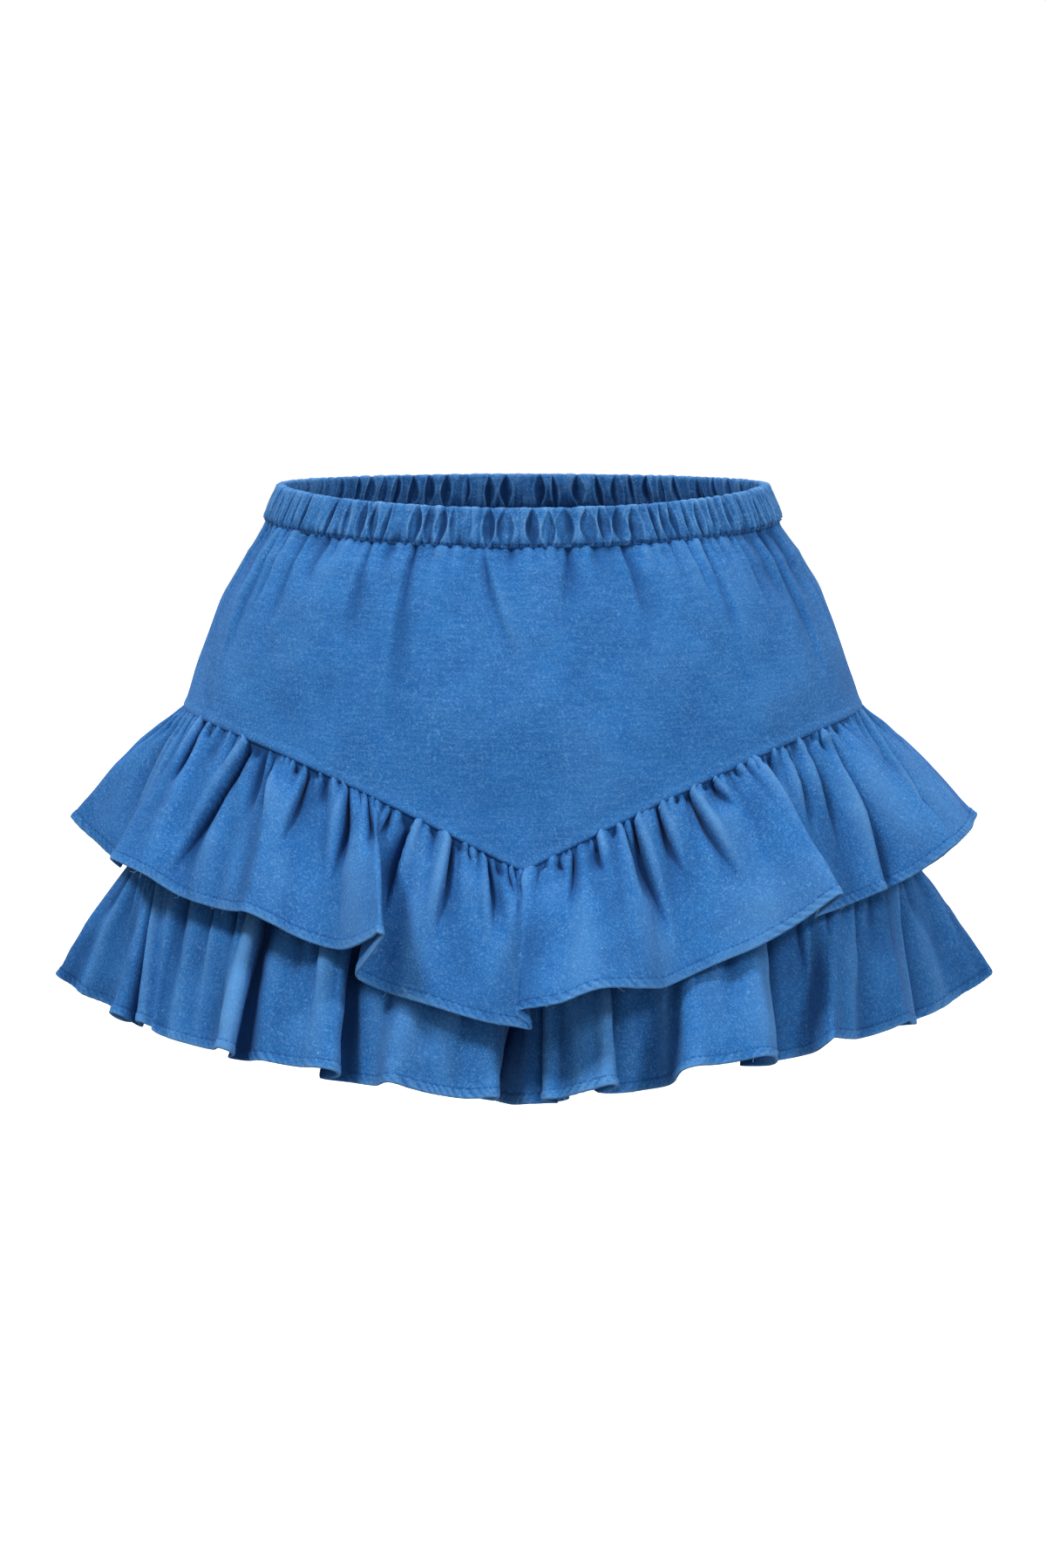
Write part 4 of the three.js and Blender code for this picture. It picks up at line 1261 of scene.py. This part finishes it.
def yoke(name, middle_angle, rows):
    """The front or back yoke, with the creases and puckers that hang from the waistband."""
    step = 180 / (YOKE_COLUMNS - 1)
    angles = middle_angle + np.linspace(-90 - step, 90 + step, YOKE_COLUMNS + 2)
    share = YOKE_DOWN
    top = BAND_BOTTOM + YOKE_LAP - band_dip(angles)
    bottom = seam_height(angles) + 0.2
    height = mix(top[None, :], bottom[None, :], share[:, None])
    below = top[None, :] - height
    above = height - bottom[None, :]
    angle = np.broadcast_to(angles[None, :], height.shape)
    fade = clamp(1 - below / 42) ** 1.5
    lifted = body_point(angle, height + band_dip(angle) * fade, 0)
    grid = body_point(angle, height, 0)
    grid[..., :2] = mix(grid[..., :2], lifted[..., :2], fade[..., None])
    normal = grid_normals(grid)
    lift, _ = creases(rows, angle, 360, below, mix(2.4, 3.05, clamp(below / 90)))
    lift = 1.1 * lift * (0.55 + 0.45 * smooth(below / 9))
    for pitch, high, reach, start, level, seed in YOKE_PUCKERS:
        ridges = puckers(angle, 360, pitch, seed, 0.7) - level
        lift += ridges * high * np.exp(-below / reach) * smooth(below / start)
    streaks = crumple(angle, 360, below / (3.5 * YOKE_DEGREE), 3.6, 68)
    lift += YOKE_STREAK_HIGH * streaks * np.exp(-below / 26) * smooth(below / 4)
    lift += YOKE_WAVE_HIGH * crumple(angle, 360, below / YOKE_DEGREE, 11, 66) * smooth(below / 20)
    lift += YOKE_CRUMPLE_HIGH * crumple(angle, 360, below / YOKE_DEGREE, 4, 67) * smooth(below / 20)
    lift *= smooth(above / 24) * smooth((below + 0.3) / 1.8)
    tuck = -0.6 * np.exp(-below / 1.2)
    roll = 0.45 * smooth((6 - above) / 4) - 0.7 * bell(above / 0.9)
    ends = seam_groove(run_along(grid[len(share) // 2]), 0.5, 1.3)
    grid = grid + normal * (lift + tuck + roll + ends[None, :])[..., None]
    normal = grid_normals(grid)
    half = (YOKE_HALF_THICK * np.sqrt(clamp(1 - 0.8 * clamp(1 - above / 0.9) ** 2)))[..., None]
    outer, inner = (grid + normal * half)[:, 1:-1], (grid - normal * half)[:, 1:-1]
    close_ends(outer, inner)
    # A painted highlight on the rolled edge above the V seam, painted shade in a thin line at the V seam and
    # under the waistband, and from the lift a painted highlight on raised cloth with painted shade in its
    # creases.
    wear_highlight_and_shade = 0.12 * bell((above - 3.5) / 2.2) - 0.9 * bell(above / 0.7) - 0.7 * np.exp(-below / 0.8)
    wear_highlight_and_shade += (0.14 + 0.24 * np.exp(-below / 16)) * lift
    wear_highlight_and_shade = np.clip(wear_highlight_and_shade[:, 1:-1], -1, 1)
    return cloth_mesh(name, outer, inner, (angle * YOKE_DEGREE)[:, 1:-1], below[:, 1:-1], wear_highlight_and_shade)


# Leg panels

def crotch_reach(level):
    """How far from the centre front to the inseam the crotch seam has come at a level."""
    return clamp((level - CROTCH_START) / (CROTCH_END - CROTCH_START)) ** CROTCH_POWER


def shorts_points(level, station, facing):
    """Points of a leg panel at a level from the V seam down to the leg ruffle's seam."""
    loop = leg_loop(station if facing < 0 else 2 * INSEAM_STATION - station)
    angle = 90 - station if facing < 0 else 90 + station
    height = mix(seam_height(angle) + SHORTS_TUCK, loop[:, 2], level)
    hollow = SHORTS_HOLLOW * smooth(level / 0.12) * smooth((1 - level) / 0.35)
    outer = body_point(angle, height, -mix(SHORTS_INSIDE, LEG_INSIDE, clamp(level * 3)) - hollow)
    bend = clamp((level - CROTCH_START) / (1 - CROTCH_START))
    across = np.maximum(outer[:, 0], 0)
    outside = np.column_stack([mix(across, loop[:, 0], bend), mix(outer[:, 1], loop[:, 1], bend), height])
    inner = clamp((station - CENTRE_STATION) / (INSEAM_STATION - CENTRE_STATION))
    starts = CROTCH_START + (CROTCH_END - CROTCH_START) * inner ** (1 / CROTCH_POWER)
    fallen = clamp((level - starts) / (1 - starts))
    crotch = CROTCH_TOP - CROTCH_FALL * np.sin(np.pi / 2 * inner ** CROTCH_ROUND)
    inside = np.column_stack([mix(0, loop[:, 0], fallen), loop[:, 1], mix(crotch, loop[:, 2], fallen)])
    return np.where((station <= CENTRE_STATION)[:, None], outside, inside)


def shorts_panel(name, side, facing):
    """A quarter of the shorts, from its side seam to the centre seam and the inseam."""
    levels = np.sort(np.append(np.linspace(0, 1, SHORTS_ROWS), CROTCH_END))
    rows = []
    for level in levels:
        end = CENTRE_STATION + (INSEAM_STATION - CENTRE_STATION) * crotch_reach(level)
        rows.append(shorts_points(level, np.linspace(0, end, SHORTS_COLUMNS), facing))
    grid = np.array(rows) * np.array([side, 1, 1])
    if side * facing < 0:
        grid = grid[:, ::-1]
    middle = 0 if side * facing < 0 else -1
    in_middle = np.abs(grid[:, middle, 0]) < 0.001
    normal = grid_normals(grid)
    run = run_along(grid[SHORTS_ROWS // 2])
    slow = 0.6 * crumple(run, run[-1] * 3, -grid[..., 2], 26, 71) * smooth(levels * (1 - levels) * 8)[:, None]
    grid = grid + normal * slow[..., None]
    outer, inner = grid + normal * SHORTS_HALF_THICK, grid - normal * SHORTS_HALF_THICK
    close_ends(outer, inner)
    for shell in (outer, inner):
        shell[in_middle, middle, 0] = -side * EDGE_LAP
    return cloth_mesh(name, outer, inner, run[None, :], -grid[..., 2], np.zeros(grid.shape[:2]))


# Build

band_stitches = []
for name, first, last in (("waistband_left", 0, 180), ("waistband_right", 180, 360)):
    piece, seam, joins = waistband(name + "_cloth", first, last)
    band_stitches.append(stitch_row(seam, seam * LEVEL, first + 1, **BAND_STITCH))
    for number, join in enumerate(joins):
        out = join * LEVEL * (1 if number < len(JOIN_COLUMNS) else -1)
        band_stitches.append(stitch_row(join, out, first + 2 + number, **JOIN_STITCH))
    dress(piece, name, denim_band)
sewing("band_stitches", band_stitches)

yoke_rows = YOKE_CREASES + half_turned(YOKE_CREASES, 180)
for name, middle in (("yoke_front", 0), ("yoke_back", 180)):
    piece = yoke(name + "_cloth", middle, yoke_rows)
    dress(piece, name, denim_yoke)

hems = []
upper_rows = UPPER_CREASES + half_turned(UPPER_CREASES, 180)
count = len(UPPER_FOLDS)
for name, span in (("upper_ruffle_front", (0, count)), ("upper_ruffle_back", (count, 2 * count))):
    piece, outer, inner, down, _ = ruffle_piece(
        name + "_cloth", upper_lines, span, upper_rows, 3, **UPPER_CLOTH)
    hems.append((outer, inner, down, UPPER_DEPTH))
    dress(piece, name, denim_ruffle)

ruffle_stitches = []
for word, side in (("left", 1), ("right", -1)):
    for facing, half in ((-1, "front"), (1, "back")):
        name = f"shorts_{half}_{word}"
        piece = shorts_panel(name + "_cloth", side, facing)
        dress(piece, name, denim_shorts)
    rows, front_count = leg_rows(side)
    leg_creases = leg_crease_rows(side)
    count = len(rows)
    spans = {"front": (0, front_count), "back": (front_count, count)}
    if side > 0:
        spans = {"front": (count - front_count, count), "back": (0, count - front_count)}
    for half, span in spans.items():
        name = f"lower_ruffle_{word}_{half}"
        piece, outer, inner, down, station = ruffle_piece(
            name + "_cloth", leg_lines(side), span, leg_creases, 20 + side, **LEG_CLOTH)
        hems.append((outer, inner, down, LEG_DEPTH))
        dress(piece, name, denim_ruffle)
        if half == "front":
            column = int(np.argmin(np.abs(station - PIECED_STATION)))
            line, outwards = outer[PIECED_ROWS, column], grid_normals(outer)[PIECED_ROWS, column]
            ruffle_stitches.append(stitch_row(line, outwards, 60 + side))

frayed = []
for number, (outer, inner, down, depth) in enumerate(hems):
    line = int(np.argmin(np.abs(depth - down - HEM_WIDE)))
    outwards, inwards = grid_normals(outer), -grid_normals(inner)
    ruffle_stitches.append(stitch_row(outer[line], outwards[line], 90 + number))
    ruffle_stitches.append(stitch_row(inner[line], inwards[line], 190 + number))
    frayed.append(loose_ends(outer[-1], outwards[-1], FRAYED_ENDS, 290 + number))
sewing("hem_stitches", ruffle_stitches)
fraying("hem_fraying", frayed)


# Floor, light and camera

def floor():
    """Matt white seamless paper, which gives the eye nothing but an even pale ground."""
    bpy.ops.object.select_all(action="DESELECT")
    bpy.ops.mesh.primitive_plane_add(size=30, location=(0, 0, FLOOR_HEIGHT))
    plane = bpy.context.object
    plane.name = "floor"
    material = bpy.data.materials.new("studio_paper")
    material.use_nodes = True
    shader = material.node_tree.nodes["Principled BSDF"]
    shader.inputs["Base Color"].default_value = linear("#f4f5f7")
    shader.inputs["Roughness"].default_value = 0.95
    plane.data.materials.append(material)
    plane.visible_diffuse = False


def lamp(name, azimuth, elevation, strength, spread):
    """A wide soft light from far away. Its azimuth counts from the front towards +X."""
    data = bpy.data.lights.new(name, "SUN")
    data.energy = strength
    data.angle = math.radians(spread)
    made = bpy.data.objects.new(name, data)
    bpy.context.scene.collection.objects.link(made)
    a, e = math.radians(azimuth), math.radians(elevation)
    towards = Vector((math.sin(a) * math.cos(e), -math.cos(a) * math.cos(e), math.sin(e)))
    made.location = towards * 3
    made.rotation_euler = towards.to_track_quat("Z", "Y").to_euler()


def studio():
    """A white world that lights the garment less than it shows to the camera, and the lights."""
    made = bpy.data.worlds.new("studio")
    bpy.context.scene.world = made
    made.use_nodes = True
    tree = made.node_tree
    background = tree.nodes["Background"]
    background.inputs["Color"].default_value = linear("#ffffff")
    seen = node(tree, "ShaderNodeLightPath").outputs["Is Camera Ray"]
    strength = node(tree, "ShaderNodeMapRange", inputs={"To Min": WORLD_LIGHT, "To Max": 1.0},
                    links={"Value": seen})
    tree.links.new(strength.outputs[0], background.inputs["Strength"])
    bpy.context.scene.view_settings.view_transform = "Standard"
    for name, light in LIGHTS.items():
        lamp(name, *light)


def camera():
    """The camera at the photograph's viewing angle."""
    data = bpy.data.cameras.new("camera")
    data.sensor_width = SENSOR_MM
    data.lens = FOCAL_PX * SENSOR_MM / IMAGE_HEIGHT_PX
    view = bpy.data.objects.new("camera", data)
    bpy.context.scene.collection.objects.link(view)
    view.location = (
        0,
        -CAMERA_DISTANCE * math.cos(CAMERA_ELEVATION) * MM,
        (CAMERA_AIM_HEIGHT + CAMERA_DISTANCE * math.sin(CAMERA_ELEVATION)) * MM,
    )
    view.rotation_euler = (math.pi / 2 - CAMERA_ELEVATION, 0, 0)
    bpy.context.scene.camera = view


floor()
studio()
camera()
